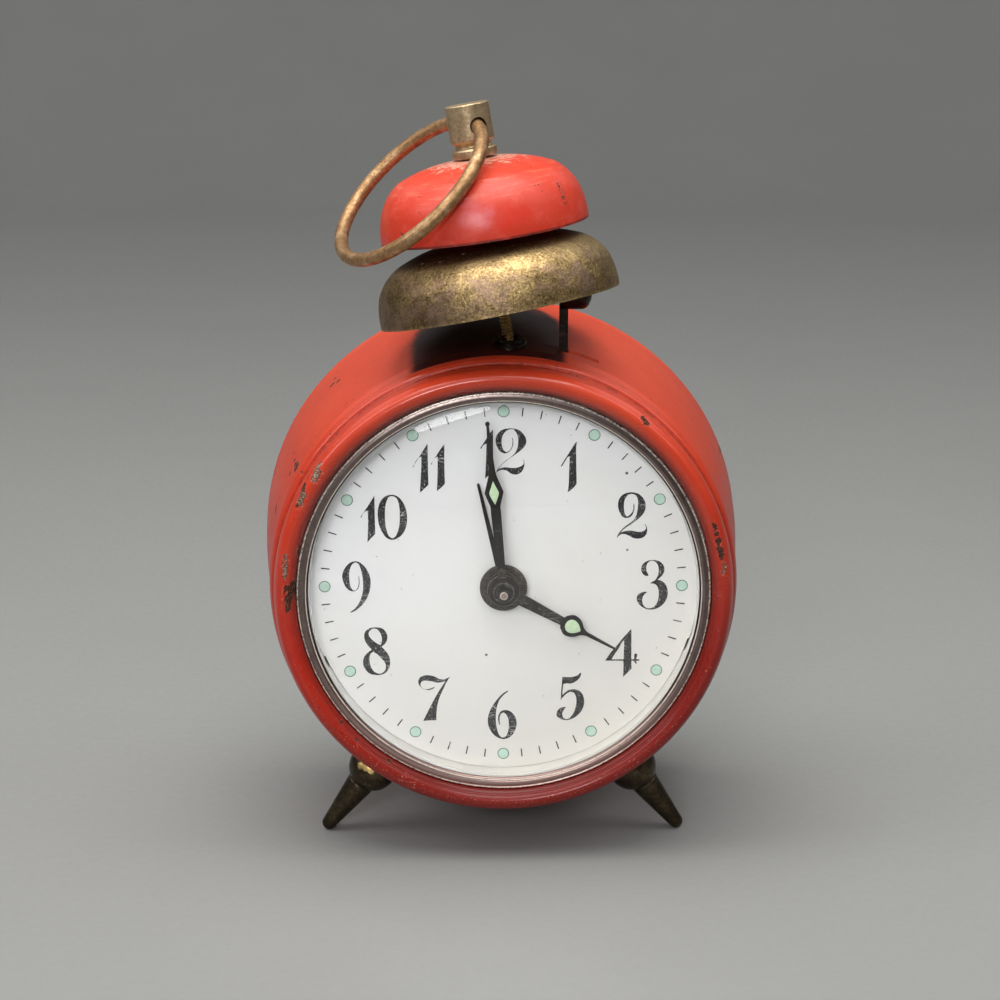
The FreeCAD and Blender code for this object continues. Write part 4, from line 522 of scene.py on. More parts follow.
def hand_black():
    m = Mat("hand_black")
    f = m.noise(1.6, 4, 0.6)
    g = m.noise(0.3, 4, 0.7)
    col = m.mix(f, (0.005, 0.0045, 0.0045), (0.017, 0.014, 0.012))
    s = m.math("MAXIMUM", scratches(m, 3.0, 0.4, 0.42, (0.0, 0.7, 0.0)), scratches(m, 2.2, 0.35, 0.38, (0.0, 2.1, 0.0)))
    col = m.mix(m.math("MULTIPLY", s, 0.55), col, (0.40, 0.38, 0.35))
    dust = m.math("GREATER_THAN", m.noise(0.22, 4, 0.78), 0.645)
    col = m.mix(m.math("MULTIPLY", dust, 0.5), col, (0.22, 0.20, 0.17))
    # the hub: a mottled disc with fine turned edges
    r, yd, x, z = m.dial_polar()
    mott = m.math("MULTIPLY", m.band(r, 2.95, 0.36, 0.12), m.span(m.noise(0.34, 4, 0.75), 0.44, 0.60))
    col = m.mix(m.math("MULTIPLY", mott, 0.75), col, (0.090, 0.074, 0.058))
    for radius, strength in ((2.36, 0.55), (1.46, 0.65), (3.42, 0.35)):
        line = m.math("MULTIPLY", m.band(r, radius, 0.035, 0.05), m.span(m.noise(0.8, 3, 0.7), 0.36, 0.60, 0.25, 1.0))
        col = m.mix(m.math("MULTIPLY", line, strength), col, (0.24, 0.20, 0.165))
    n = m.bump(g, 0.004)
    m.shader(color=col, rough=m.span(g, 0.3, 0.7, 0.34, 0.50), normal=n, specular=0.22, coat=m.span(f, 0.3, 0.7, 0.02, 0.08), coat_rough=0.25)
    return m.m


def arbor_tip():
    """End of the centre arbor: a small bright eye with a turned edge."""
    m = Mat("arbor_tip_aged")
    r, yd, x, z = m.dial_polar()
    f = m.noise(0.22, 4, 0.7)
    col = m.mix(m.span(f, 0.35, 0.65), (0.235, 0.155, 0.135), (0.440, 0.345, 0.310))
    col = m.mix(m.math("MULTIPLY", m.band(r, 0.50, 0.045, 0.04), 0.8), col, (0.70, 0.62, 0.56))
    col = m.mix(m.span(r, 0.58, 0.63), col, (0.030, 0.024, 0.021))
    m.shader(color=col, metallic=0.80, rough=m.span(f, 0.3, 0.7, 0.26, 0.42), normal=m.bump(f, 0.006))
    return m.m


def plated_cover():
    """Dull plated sheet, lapped in circles, freckled with age."""
    m = Mat("cover_plated")
    r, yd, x, z = m.dial_polar()
    comb = m.nt.nodes.new("ShaderNodeCombineXYZ")
    m.put(comb.inputs[0], m.math("MULTIPLY", r, 1.0))
    m.put(comb.inputs[1], m.math("MULTIPLY", m.math("ARCTAN2", z, x), 1.2))
    line = m.noise(0.12, 3, 0.6, p=comb.outputs[0])
    cloud = m.noise(8.0, 4, 0.6)
    col = m.mix(m.span(cloud, 0.35, 0.7), (0.60, 0.585, 0.56), (0.47, 0.45, 0.41))
    freckle = m.math("MULTIPLY", m.math("LESS_THAN", m.cells(1.2), 0.14), m.span(m.noise(7.0, 2), 0.48, 0.56))
    col = m.mix(m.math("MULTIPLY", freckle, 0.6), col, (0.16, 0.11, 0.07))
    ro = m.math("ADD", m.math("MULTIPLY", line, 0.22), m.span(cloud, 0.3, 0.7, 0.22, 0.36))
    n = m.bump(line, 0.003)
    n = m.bump(cloud, 0.06, n)
    n = m.bump(freckle, 0.01, n, invert=True)
    m.shader(color=col, metallic=0.95, rough=ro, normal=n)
    return m.m


def blued_spring():
    m = Mat("spring_blued")
    a = m.noise(2.5, 3)
    col = m.ramp(a, [(0.3, (0.030, 0.045, 0.11)), (0.55, (0.055, 0.075, 0.16)), (0.75, (0.10, 0.085, 0.12))])
    m.shader(color=col, metallic=1.0, rough=m.span(m.noise(0.4, 3), 0.3, 0.7, 0.22, 0.38), normal=m.bump(m.noise(0.3, 2), 0.002))
    return m.m


# ------------------------------------------------------------------ the dial's numbers, in dial-frame (x, z) millimetres; a third number of 1 is a corner
NUMERALS = {
    "12": [
        [(-1.56, 23.82, 1), (-1.53, 21.28), (-1.5, 17.75, 1), (-2.04, 17.08), (-2.71, 16.44, 1), (-2.62, 17.79), (-2.55, 19.54), (-2.5, 21.7, 1), (-2.65, 21.65), (-3.25, 20.89, 1), (-3.42, 21.01, 1), (-2.73, 22.07), (-2.12, 23.06)],
        [(1.29, 22.55, 1), (1.41, 22.15), (1.37, 21.45), (1.12, 20.82), (0.71, 20.39), (0.17, 20.21), (-0.44, 20.48), (-0.94, 21.18), (-1.16, 21.98), (-1.04, 22.85), (-0.61, 23.46), (0.06, 23.85), (0.76, 23.97), (1.54, 23.94), (2.3, 23.67), (2.9, 23.1), (3.27, 22.4), (3.31, 21.88), (3.07, 21.27), (2.48, 20.66), (1.7, 20.05), (0.93, 19.51), (0.2, 18.94), (-0.41, 18.34), (-0.75, 17.87, 1), (-0.34, 18.03), (0.26, 18.13), (1.19, 18.04), (1.91, 18.07), (2.52, 18.28), (2.91, 18.61), (2.96, 18.91), (2.84, 19.21, 1), (2.94, 19.26, 1), (3.06, 18.82), (3.01, 18.28), (2.74, 17.58), (2.23, 17.14), (1.62, 17.02), (1.02, 17.23), (0.48, 17.62), (-0.08, 17.74), (-0.6, 17.64), (-1.12, 17.24, 1), (-0.94, 17.75), (-0.58, 18.24), (0.17, 19.01), (1.19, 19.79), (1.78, 20.47), (2.09, 21.36), (2.13, 22.14), (2.05, 22.84), (1.78, 23.43), (1.42, 23.75), (1.05, 23.85), (0.59, 23.71), (0.1, 23.28), (-0.21, 22.67), (-0.29, 21.89), (-0.19, 21.19), (0.07, 20.65), (0.42, 20.44), (0.76, 20.56), (1.1, 21), (1.27, 21.62), (1.3, 22.15), (1.2, 22.51, 1)],
    ],
    "1": [
        [(10.71, 21.97, 1), (10.63, 21.41), (10.63, 19.14), (10.69, 16.86), (10.72, 15.61, 1), (10.06, 14.82), (9.39, 14.33, 1), (9.51, 15.1), (9.59, 17.39), (9.67, 19.74, 1), (9.48, 19.72), (9.08, 19.14), (8.53, 18.22, 1), (8.36, 18.27, 1), (8.78, 19.01), (9.25, 19.79), (9.92, 20.87), (10.45, 21.73)],
    ],
    "2": [
        [(19.18, 12.56, 1), (19.26, 12.02), (19.15, 11.29), (18.77, 10.63), (18.2, 10.4), (17.65, 10.51), (17.18, 11.1), (16.9, 11.85), (16.83, 12.59), (17.04, 13.38), (17.55, 13.97), (18.23, 14.25), (18.95, 14.3), (19.72, 14.12), (20.34, 13.66), (20.75, 13.02), (20.91, 12.31), (20.81, 11.57), (20.38, 10.81), (19.67, 10.1), (18.82, 9.48), (18.05, 8.93), (17.63, 8.61), (17.29, 8.25, 1), (17.98, 8.38), (18.66, 8.48), (19.44, 8.35), (20.21, 8.28), (20.73, 8.44), (21.01, 8.78), (20.99, 9.11), (20.78, 9.4, 1), (20.88, 9.45, 1), (21.11, 9.06), (21.2, 8.56), (21.1, 7.96), (20.67, 7.46), (19.99, 7.23), (19.2, 7.32), (18.5, 7.7), (17.9, 7.93), (17.38, 7.91), (17.04, 7.68), (16.74, 7.29, 1), (16.79, 7.61), (16.99, 8.04), (17.32, 8.52), (17.83, 9.02), (18.47, 9.51), (19.07, 10.01), (19.52, 10.75), (19.71, 11.61), (19.78, 12.4), (19.75, 13.08), (19.59, 13.61), (19.24, 13.96), (18.81, 14.07), (18.39, 13.95), (18, 13.56), (17.75, 12.94), (17.7, 12.23), (17.74, 11.61), (17.88, 11.06), (18.17, 10.63), (18.49, 10.79), (18.81, 11.11), (19.03, 11.52), (19.1, 12.05), (19.08, 12.55, 1)],
    ],
    "3": [
        [(21.55, 1.52, 1), (21.13, 1.49), (20.71, 1.76), (20.44, 2.27), (20.45, 2.9), (20.75, 3.43), (21.37, 3.83), (22.14, 3.95), (22.87, 3.84), (23.5, 3.42), (23.84, 2.74), (23.8, 2.07), (23.45, 1.46), (23.11, 1.1), (22.85, 0.89, 1), (23.29, 0.78), (23.94, 0.34), (24.33, -0.45), (24.42, -1.27), (24.23, -2.19), (23.67, -2.99), (22.9, -3.55), (22.02, -3.76), (21.22, -3.63), (20.45, -3.18), (19.96, -2.56), (19.81, -1.98), (19.99, -1.43), (20.5, -1.09), (21.24, -0.95, 1), (21.28, -1.15, 1), (20.89, -1.46), (20.69, -1.91), (20.65, -2.47), (20.87, -3.09), (21.25, -3.45), (21.78, -3.55), (22.38, -3.33), (22.84, -2.73), (23.06, -1.92), (23.08, -1.03), (22.93, -0.3), (22.57, 0.17), (22.16, 0.31), (21.78, 0.26, 1), (21.91, 0.44), (22.46, 0.8), (22.83, 1.36), (23, 2.08), (22.97, 2.8), (22.74, 3.41), (22.32, 3.75), (21.78, 3.79), (21.37, 3.49), (21.17, 2.97), (21.22, 2.25), (21.46, 1.76)],
    ],
    "4": [
        [(19.11, -6.74, 1), (19.14, -8.68), (19.18, -11.55, 1), (19.55, -11.55, 1), (19.61, -11.18), (19.59, -10.83), (19.81, -10.61), (20.04, -10.82), (20, -11.18), (19.83, -11.46, 1), (20.06, -11.55), (20.39, -11.55, 1), (20.39, -11.79, 1), (20.03, -11.79), (19.85, -11.88, 1), (20.03, -12.18, 1), (19.84, -12.25, 1), (19.63, -11.96), (19.45, -11.77), (19.19, -11.81, 1), (19.22, -13.02, 1), (18.61, -13.67), (17.97, -14.35, 1), (18.01, -13.46), (17.99, -11.99, 1), (17.95, -11.78, 1), (16.13, -11.76), (15.24, -11.77, 1), (15.6, -11.17), (16.11, -10.41), (16.97, -9.37), (17.91, -8.13), (18.51, -7.44)],
        [(18.06, -8.55, 1), (18.01, -11.54, 1), (16.18, -11.55, 1), (16.64, -10.78), (17.32, -9.68), (17.8, -8.77)],
    ],
    "5": [
        [(8.86, -14.28, 1), (9.48, -14.34), (10.53, -14.27), (11.22, -13.97), (11.55, -13.61, 1), (11.69, -13.75, 1), (11.51, -14.34), (10.92, -14.99), (10.19, -15.34), (9.49, -15.34), (9.01, -15.43, 1), (8.95, -16), (8.89, -17.17, 1), (9.25, -16.82), (9.79, -16.41), (10.58, -16.27), (11.37, -16.47), (11.88, -17.03), (12.15, -17.87), (12.13, -18.8), (11.82, -19.64), (11.21, -20.4), (10.41, -20.95), (9.53, -21.19), (8.72, -21.02), (8.05, -20.5), (8.07, -19.9), (8.4, -19.38), (8.89, -19.12), (9.45, -19.1, 1), (9.2, -19.44), (8.93, -19.9), (8.91, -20.46), (9.25, -20.95), (9.64, -21.04), (10.16, -20.65), (10.61, -19.97), (10.9, -19.07), (11, -18.05), (10.87, -17.29), (10.55, -16.79), (10.04, -16.69), (9.5, -16.98), (9.01, -17.48), (8.63, -17.97, 1), (8.66, -17.11), (8.75, -15.63)],
    ],
    "6": [
        [(0.63, -16.44, 1), (-0.07, -16.9), (-0.72, -17.55), (-1.51, -18.68), (-2.08, -19.81), (-2.35, -20.91), (-2.24, -22.07), (-1.75, -23.1), (-1.12, -23.76), (-0.59, -24.06), (-0.03, -24.19), (0.61, -24.08), (1.29, -23.6), (1.8, -22.7), (2.01, -21.77), (1.87, -20.83), (1.43, -20.09), (0.76, -19.62), (0.11, -19.56), (-0.35, -19.74), (-0.65, -20.17), (-0.79, -20.77), (-0.73, -21.48), (-0.65, -21.91, 1), (-0.5, -21.81, 1), (-0.56, -21.14), (-0.51, -20.49), (-0.28, -20.1), (0.04, -19.95), (0.39, -20.19), (0.69, -20.77), (0.83, -21.71), (0.78, -22.6), (0.55, -23.45), (0.22, -23.86), (-0.2, -23.93), (-0.59, -23.59), (-0.94, -22.6), (-1.12, -21.47), (-1.12, -20.17), (-0.94, -18.9), (-0.59, -17.94), (-0.03, -17.2), (0.74, -16.57, 1)],
    ],
    "7": [
        [(-7.98, -14.21, 1), (-8.37, -14.8), (-9.06, -16.24), (-9.68, -17.72), (-9.99, -19.21), (-10.09, -21.13, 1), (-11.04, -21.14), (-12.11, -21.23, 1), (-11.56, -20.13), (-10.67, -18.31), (-9.78, -16.65), (-9.07, -15.5), (-8.67, -14.89, 1), (-9.24, -15.04), (-9.94, -15.13), (-10.64, -14.94), (-11.34, -14.83), (-11.95, -14.82), (-12.32, -15.03), (-12.44, -15.49), (-12.22, -15.93), (-11.7, -16.18), (-11, -16.07), (-10.4, -15.81, 1), (-10.33, -15.92, 1), (-10.82, -16.2), (-11.44, -16.29), (-12.05, -16.1), (-12.53, -15.69), (-12.77, -15.12), (-12.7, -14.54), (-12.29, -14.14), (-11.68, -13.96), (-10.98, -13.98), (-10.28, -14.18), (-9.59, -14.52), (-8.96, -14.61), (-8.37, -14.4)],
    ],
    "8": [
        [(-18.97, -6.38), (-18.17, -6.5), (-17.57, -7.05), (-17.31, -7.78), (-17.42, -8.51), (-17.78, -9.06), (-18.23, -9.4, 1), (-17.63, -10.06), (-17.1, -10.89), (-16.94, -11.81), (-17.09, -12.73), (-17.59, -13.48), (-18.29, -13.85), (-19.08, -13.9), (-20.02, -13.66), (-20.65, -13.01), (-20.99, -12.16), (-20.96, -11.43), (-20.62, -10.69), (-20.16, -10.24), (-19.68, -9.87, 1), (-20.14, -9.32), (-20.6, -8.59), (-20.78, -7.76), (-20.59, -7.03), (-20.05, -6.58), (-19.49, -6.4)],
        [(-19.93, -6.95), (-19.42, -6.58), (-18.89, -6.66), (-18.44, -7.13), (-18.16, -7.87), (-18.15, -8.51), (-18.31, -9.13, 1), (-18.66, -9.03), (-19.18, -8.68), (-19.76, -8.15), (-20.08, -7.58), (-20.09, -7.22)],
        [(-19.46, -10.22, 1), (-18.94, -10.52), (-18.33, -11.16), (-17.74, -11.92), (-17.59, -12.47), (-17.71, -13.1), (-18.11, -13.52), (-18.64, -13.65), (-19.25, -13.42), (-19.76, -12.72), (-20.02, -11.8), (-19.99, -10.97), (-19.76, -10.44)],
    ],
    "9": [
        [(-21.4, 1.65, 1), (-21.33, 1.11), (-21.34, 0.39), (-21.56, -0.35), (-22.08, -0.75), (-22.7, -0.67), (-23.31, -0.17), (-23.73, 0.74), (-23.89, 1.57), (-23.61, 2.56), (-22.97, 3.45), (-22.19, 3.88), (-21.47, 3.82), (-20.71, 3.26), (-20.05, 2.27), (-19.72, 1.19), (-19.71, 0.11), (-20.02, -1.24), (-20.55, -2.33), (-21.26, -3.16), (-22.06, -3.79), (-22.76, -4.08, 1), (-22.79, -3.95, 1), (-22.15, -3.5), (-21.53, -2.69), (-21.13, -1.78), (-20.86, -0.7), (-20.79, 0.39), (-20.9, 1.65), (-21.16, 2.8), (-21.48, 3.52), (-21.85, 3.7), (-22.27, 3.5), (-22.64, 2.91), (-22.83, 2.01), (-22.81, 0.93), (-22.69, 0.03), (-22.35, -0.53), (-22.01, -0.62), (-21.66, -0.26), (-21.48, 0.3), (-21.43, 0.93), (-21.49, 1.61, 1)],
    ],
    "10": [
        [(-18.94, 13.93, 1), (-18.94, 12.86), (-18.93, 11.09), (-18.9, 9.31), (-18.89, 8.1, 1), (-19.41, 7.53), (-20.07, 6.8, 1), (-19.98, 8.43), (-19.92, 10.2), (-19.94, 11.64, 1), (-20.13, 11.6), (-20.87, 10.54, 1), (-21.04, 10.65, 1), (-20.37, 11.66), (-19.58, 12.86)],
        [(-16.33, 14.03), (-15.56, 13.78), (-14.85, 13.02), (-14.37, 11.96), (-14.18, 10.72), (-14.3, 9.3), (-14.75, 8.23), (-15.45, 7.5), (-16.33, 7.15), (-17.11, 7.38), (-17.79, 8.22), (-18.27, 9.31), (-18.49, 10.73), (-18.42, 11.97), (-18.06, 13.03), (-17.46, 13.73), (-16.84, 13.98)],
        [(-16.33, 13.82), (-15.82, 13.62), (-15.44, 12.85), (-15.28, 11.78), (-15.26, 10.54), (-15.36, 9.3), (-15.59, 8.41), (-15.98, 7.63), (-16.41, 7.42), (-16.83, 7.69), (-17.2, 8.58), (-17.39, 9.66), (-17.43, 10.9), (-17.36, 12.14), (-17.1, 13.2), (-16.76, 13.72)],
    ],
    "11": [
        [(-11.09, 21.73, 1), (-11.07, 20.41), (-11.05, 17.78), (-11, 15.53, 1), (-11.57, 14.97), (-12.26, 14.34, 1), (-12.16, 16.03), (-12.01, 18.66), (-11.99, 19.78, 1), (-12.16, 19.71), (-13.14, 18.19, 1), (-13.26, 18.3, 1), (-12.33, 19.69), (-11.64, 20.86)],
        [(-8.61, 21.64, 1), (-8.65, 20.4), (-8.64, 18.12), (-8.58, 15.7, 1), (-9.1, 15.14), (-9.77, 14.54, 1), (-9.69, 16.37), (-9.64, 18.3), (-9.63, 19.77, 1), (-9.78, 19.7), (-10.5, 18.55, 1), (-10.62, 18.66, 1), (-9.85, 19.86), (-9.13, 20.99)],
    ],
}


# ------------------------------------------------------------------ meshes
def mesh_object(name, verts, faces, material, smooth=True):
    me = bpy.data.meshes.new(name)
    me.from_pydata([tuple(v) for v in verts], [], faces)
    me.validate()
    me.update()
    for p in me.polygons:
        p.use_smooth = smooth
    ob = bpy.data.objects.new(name, me)
    bpy.context.scene.collection.objects.link(ob)
    me.materials.append(material)
    return ob


def sharp_by_angle(ob, degrees=32.0):
    """Smooth faces with hard edges above an angle."""
    me = ob.data
    bm = bmesh.new()
    bm.from_mesh(me)
    limit = math.radians(degrees)
    for e in bm.edges:
        e.smooth = not (len(e.link_faces) == 2 and e.calc_face_angle(0.0) > limit)
    bm.to_mesh(me)
    bm.free()
    for p in me.polygons:
        p.use_smooth = True
    return ob


def frame_of(axis):
    z = Vector(axis).normalized()
    x = Vector((1, 0, 0)) if abs(z.x) < 0.8 else Vector((0, 1, 0))
    x = (x - z * x.dot(z)).normalized()
    return x, z.cross(x), z


def lathe(name, profile, origin, axis, material, segments=128, wobble=None):
    """Turn (radius, height) in millimetres about an axis through origin. Ends on the axis close to a point."""
    x, y, z = frame_of(axis)
    verts, rows = [], []
    for r, h in profile:
        if r < 1e-6:
            rows.append([len(verts)])
            verts.append(origin + z * h * MM)
            continue
        row = []
        for k in range(segments):
            a = 2 * math.pi * k / segments
            rr = r + (wobble(a, r, h) if wobble else 0.0)
            row.append(len(verts))
            verts.append(origin + (x * math.cos(a) + y * math.sin(a)) * rr * MM + z * h * MM)
        rows.append(row)
    faces = []
    for a, b in zip(rows, rows[1:]):
        if len(a) == 1 and len(b) == 1:
            continue
        for k in range(segments):
            j = (k + 1) % segments
            if len(a) == 1:
                faces.append((a[0], b[j], b[k]))
            elif len(b) == 1:
                faces.append((a[k], a[j], b[0]))
            else:
                faces.append((a[k], a[j], b[j], b[k]))
    return sharp_by_angle(mesh_object(name, verts, faces, material))


def smooth_outline(points, steps=5, closed=True):
    """A curve through the points; a third number of 1 marks a corner."""
    pts = [(float(p[0]), float(p[1])) for p in points]
    corner = [len(p) > 2 and bool(p[2]) for p in points]
    n = len(pts)
    out = []
    for i in range(n):
        p1, p2 = pts[i], pts[(i + 1) % n]
        c1, c2 = corner[i], corner[(i + 1) % n]
        p0, p3 = pts[i - 1], pts[(i + 2) % n]
        d = math.dist(p1, p2)

        def slope(a, b, c):
            da, db = math.dist(a, b), math.dist(b, c)
            return tuple(((b[k] - a[k]) / da * db + (c[k] - b[k]) / db * da) / (da + db) for k in (0, 1))

        if c1 and c2:
            out.append(p1)
            continue
        t1 = None if c1 else slope(p0, p1, p2)
        t2 = None if c2 else slope(p1, p2, p3)
        chord = tuple((p2[k] - p1[k]) / d for k in (0, 1))
        if t1 is None:
            t1 = tuple(2 * chord[k] - t2[k] for k in (0, 1))
        if t2 is None:
            t2 = tuple(2 * chord[k] - t1[k] for k in (0, 1))
        for s in range(steps):
            t = s / steps
            h = (2 * t ** 3 - 3 * t ** 2 + 1, t ** 3 - 2 * t ** 2 + t, -2 * t ** 3 + 3 * t ** 2, t ** 3 - t ** 2)
            out.append(tuple(h[0] * p1[k] + h[1] * d * t1[k] + h[2] * p2[k] + h[3] * d * t2[k] for k in (0, 1)))
    return out


def printed(name, outlines, front, thick, material):
    """Flat shapes on a face of the dial: outlines in (x, z) millimetres, holes told by winding, front in y."""
    cu = bpy.data.curves.new(name, "CURVE")
    cu.dimensions = "2D"
    cu.fill_mode = "BOTH"
    cu.extrude = thick * MM / 2
    for line in outlines:
        sp = cu.splines.new("POLY")
        sp.points.add(len(line) - 1)
        for q, (px, pz) in zip(sp.points, line):
            q.co = (px * MM, pz * MM, 0.0, 1.0)
        sp.use_cyclic_u = True
    tmp = bpy.data.objects.new(name + "_tmp", cu)
    bpy.context.scene.collection.objects.link(tmp)
    bpy.context.view_layer.update()
    dg = bpy.context.evaluated_depsgraph_get()
    me = bpy.data.meshes.new_from_object(tmp.evaluated_get(dg))
    bpy.data.objects.remove(tmp)
    bm = bmesh.new()
    bm.from_mesh(me)
    bmesh.ops.remove_doubles(bm, verts=bm.verts, dist=1e-7)
    mid = front + thick / 2
    for v in bm.verts:
        x, y, z = v.co
        v.co = Vector((x, (mid + DIAL_Y) * MM - z, y + DIAL_Z * MM))
    bmesh.ops.recalc_face_normals(bm, faces=bm.faces)
    bm.to_mesh(me)
    bm.free()
    me.name = name
    me.materials.clear()
    me.materials.append(material)
    ob = bpy.data.objects.new(name, me)
    bpy.context.scene.collection.objects.link(ob)
    for p in me.polygons:
        p.use_smooth = False
    return ob


def domed(name, outline, base, height, material, rings=5, inset=0.30):
    """A small raised blob on a face that looks to the front: outline in (x, z) millimetres, base in y."""
    cx = sum(p[0] for p in outline) / len(outline)
    cz = sum(p[1] for p in outline) / len(outline)
    verts, rows = [], []
    levels = [(1.0, -0.02), (1.0, 0.10)] + [(1.0 - inset * (1 - math.cos(t)), 0.10 + 0.90 * math.sin(t)) for t in [math.pi / 2 * (i + 1) / rings for i in range(rings)]]
    for s, h in levels:
        row = []
        for px, pz in outline:
            row.append(len(verts))
            verts.append(at(cx + (px - cx) * s, base - height * h, cz + (pz - cz) * s))
        rows.append(row)
    centre = len(verts)
    verts.append(at(cx, base - height * 1.02, cz))
    faces = []
    n = len(outline)
    for a, b in zip(rows, rows[1:]):
        for k in range(n):
            j = (k + 1) % n
            faces.append((a[k], a[j], b[j], b[k]))
    for k in range(n):
        faces.append((rows[-1][k], rows[-1][(k + 1) % n], centre))
    faces.append(tuple(reversed(rows[0])))
    ob = mesh_object(name, verts, faces, material)
    bm = bmesh.new()
    bm.from_mesh(ob.data)
    bmesh.ops.recalc_face_normals(bm, faces=bm.faces)
    bm.to_mesh(ob.data)
    bm.free()
    return sharp_by_angle(ob, 50)


def join(name, objects):
    """Put several meshes of one finish into one object."""
    bm = bmesh.new()
    for o in objects:
        bm.from_mesh(o.data)
    me = bpy.data.meshes.new(name)
    bm.to_mesh(me)
    bm.free()
    me.materials.append(objects[0].data.materials[0])
    ob = bpy.data.objects.new(name, me)
    bpy.context.scene.collection.objects.link(ob)
    for o in objects:
        bpy.data.objects.remove(o)
    return ob


def arm(angle, r, w):
    """A point of a hand: angle clockwise from 12, r along the hand, w across it."""
    a = math.radians(angle)
    return (r * math.sin(a) + w * math.cos(a), r * math.cos(a) - w * math.sin(a))


# ------------------------------------------------------------------ directions shared with the CAD
POST = at(1.0, 7.0, 34.9)
P_DIR = unit(-0.17686, 0.02793, 0.98384)
N_DIR = unit(0.0286, -0.186, 0.982)
BRASS_C = (-0.40, 6.43 + DIAL_Y, 40.85 + DIAL_Z)
RED_C = (-2.62, 7.60 + DIAL_Y, 51.95 + DIAL_Z)
BRASS_N = unit(-math.tan(math.radians(11.1)), math.tan(math.radians(5.5)), 1.0)
RED_N = unit(-math.tan(math.radians(8.3)), math.tan(math.radians(0.8)), 1.0)

# ------------------------------------------------------------------ chips and scuffs, in row millimetres with a radius
BEZEL_TAN = [(-26.55, -21.30, 61.95, 0.40), (-26.68, -21.47, 61.62, 0.52), (-26.85, -21.70, 61.10, 0.60), (-26.96, -21.87, 60.68, 0.70),
             (-27.20, -21.92, 60.25, 0.62), (-27.40, -21.94, 59.81, 0.50), (-28.97, -21.87, 57.42, 0.50), (-29.40, -21.83, 56.60, 0.48),
             (-31.80, -22.07, 48.20, 0.34), (-31.80, -22.07, 47.74, 0.42), (-31.78, -22.08, 47.25, 0.46), (-31.78, -22.08, 46.90, 0.48),
             (-31.82, -22.08, 46.40, 0.46), (-31.84, -22.08, 45.95, 0.42), (-31.86, -22.07, 45.50, 0.38), (-31.88, -22.07, 45.05, 0.30),
             (32.22, -22.05, 47.0, 0.28), (32.17, -22.05, 46.61, 0.36), (32.05, -22.06, 46.2, 0.36), (31.95, -22.06, 45.8, 0.32), (31.83, -22.06, 45.39, 0.26)]
BEZEL_DARK = [(-28.80, -21.20, 58.75, 0.42), (-28.94, -21.35, 58.33, 0.58), (-29.00, -21.60, 57.85, 0.55), (-29.20, -21.80, 57.05, 0.46),
              (-29.50, -21.83, 56.30, 0.55), (-29.75, -21.80, 55.90, 0.38), (-29.51, -16.63, 59.44, 0.30),
              (-30.75, -21.05, 43.60, 0.75), (-30.89, -21.15, 42.90, 0.95), (-31.10, -21.40, 42.30, 0.80), (-31.31, -21.65, 41.83, 0.80),
              (-31.50, -21.80, 41.10, 0.62), (-31.55, -21.88, 40.38, 0.60), (-30.47, -20.01, 42.85, 0.60), (-31.60, -21.90, 43.50, 0.42), (-32.0, -22.0, 43.0, 0.30),
              (-29.79, -20.62, 48.61, 0.55), (-29.9, -20.7, 49.3, 0.42),
              (19.88, -21.46, 68.49, 0.50), (20.15, -21.58, 68.22, 0.55), (20.50, -21.70, 67.90, 0.36),
              (30.50, -22.07, 52.70, 0.40), (30.62, -22.08, 52.2, 0.30), (30.82, -22.08, 51.46, 0.34), (31.04, -22.08, 50.40, 0.46), (31.15, -22.08, 49.95, 0.36),
              (31.34, -22.08, 49.3, 0.40), (31.44, -22.08, 48.85, 0.50), (31.55, -22.08, 48.4, 0.46), (31.66, -22.08, 47.9, 0.36),
              (-21.88, -21.39, 19.64, 0.24), (29.30, -21.62, 26.24, 0.22), (-24.05, -21.15, 22.36, 0.30), (-17.2, -20.9, 16.0, 0.34), (8.0, -20.9, 12.0, 0.28)]
CASE_DARK = [(-30.97, -8.43, 58.22, 0.85), (-31.20, -7.0, 58.35, 0.50), (-31.52, -4.96, 58.49, 0.42), (-31.82, -2.11, 58.90, 0.34),
             (-32.13, -6.37, 56.74, 0.44), (-34.58, -4.88, 50.61, 0.55), (-34.50, -3.9, 50.9, 0.35), (-33.81, -5.54, 52.85, 0.26),
             (-26.27, 5.46, 67.97, 0.60), (-25.31, 4.43, 68.75, 0.48), (-25.9, 7.4, 68.6, 0.36),
             (35.24, 14.53, 55.54, 0.60), (34.6, 9.5, 56.0, 0.50), (33.81, 3.29, 56.46, 0.36), (34.9, 12.0, 55.4, 0.44),
             (31.0, 15.6, 20.2, 0.7), (-35.2, 14.8, 28.6, 0.55), (-22.4, 16.1, 10.8, 0.6), (12.6, 16.2, 6.1, 0.5), (27.6, 16.2, 67.9, 0.45),
             (-12.0, 15.9, 77.9, 0.5), (20.2, 3.4, 10.6, 0.45)]
BELL_DARK = [(7.55, -16.10, 101.45, 0.20), (7.80, -16.30, 101.00, 0.22), (7.95, -16.5, 100.55, 0.16), (8.20, -16.75, 100.0, 0.18), (8.35, -16.93, 99.54, 0.22),
             (8.57, -17.21, 98.63, 0.17), (8.9, -16.9, 99.2, 0.14), (-14.43, -17.72, 94.48, 0.26), (-11.81, -19.48, 97.67, 0.14), (4.6, 4.9, 100.6, 0.4), (-14.2, 1.0, 97.0, 0.34)]

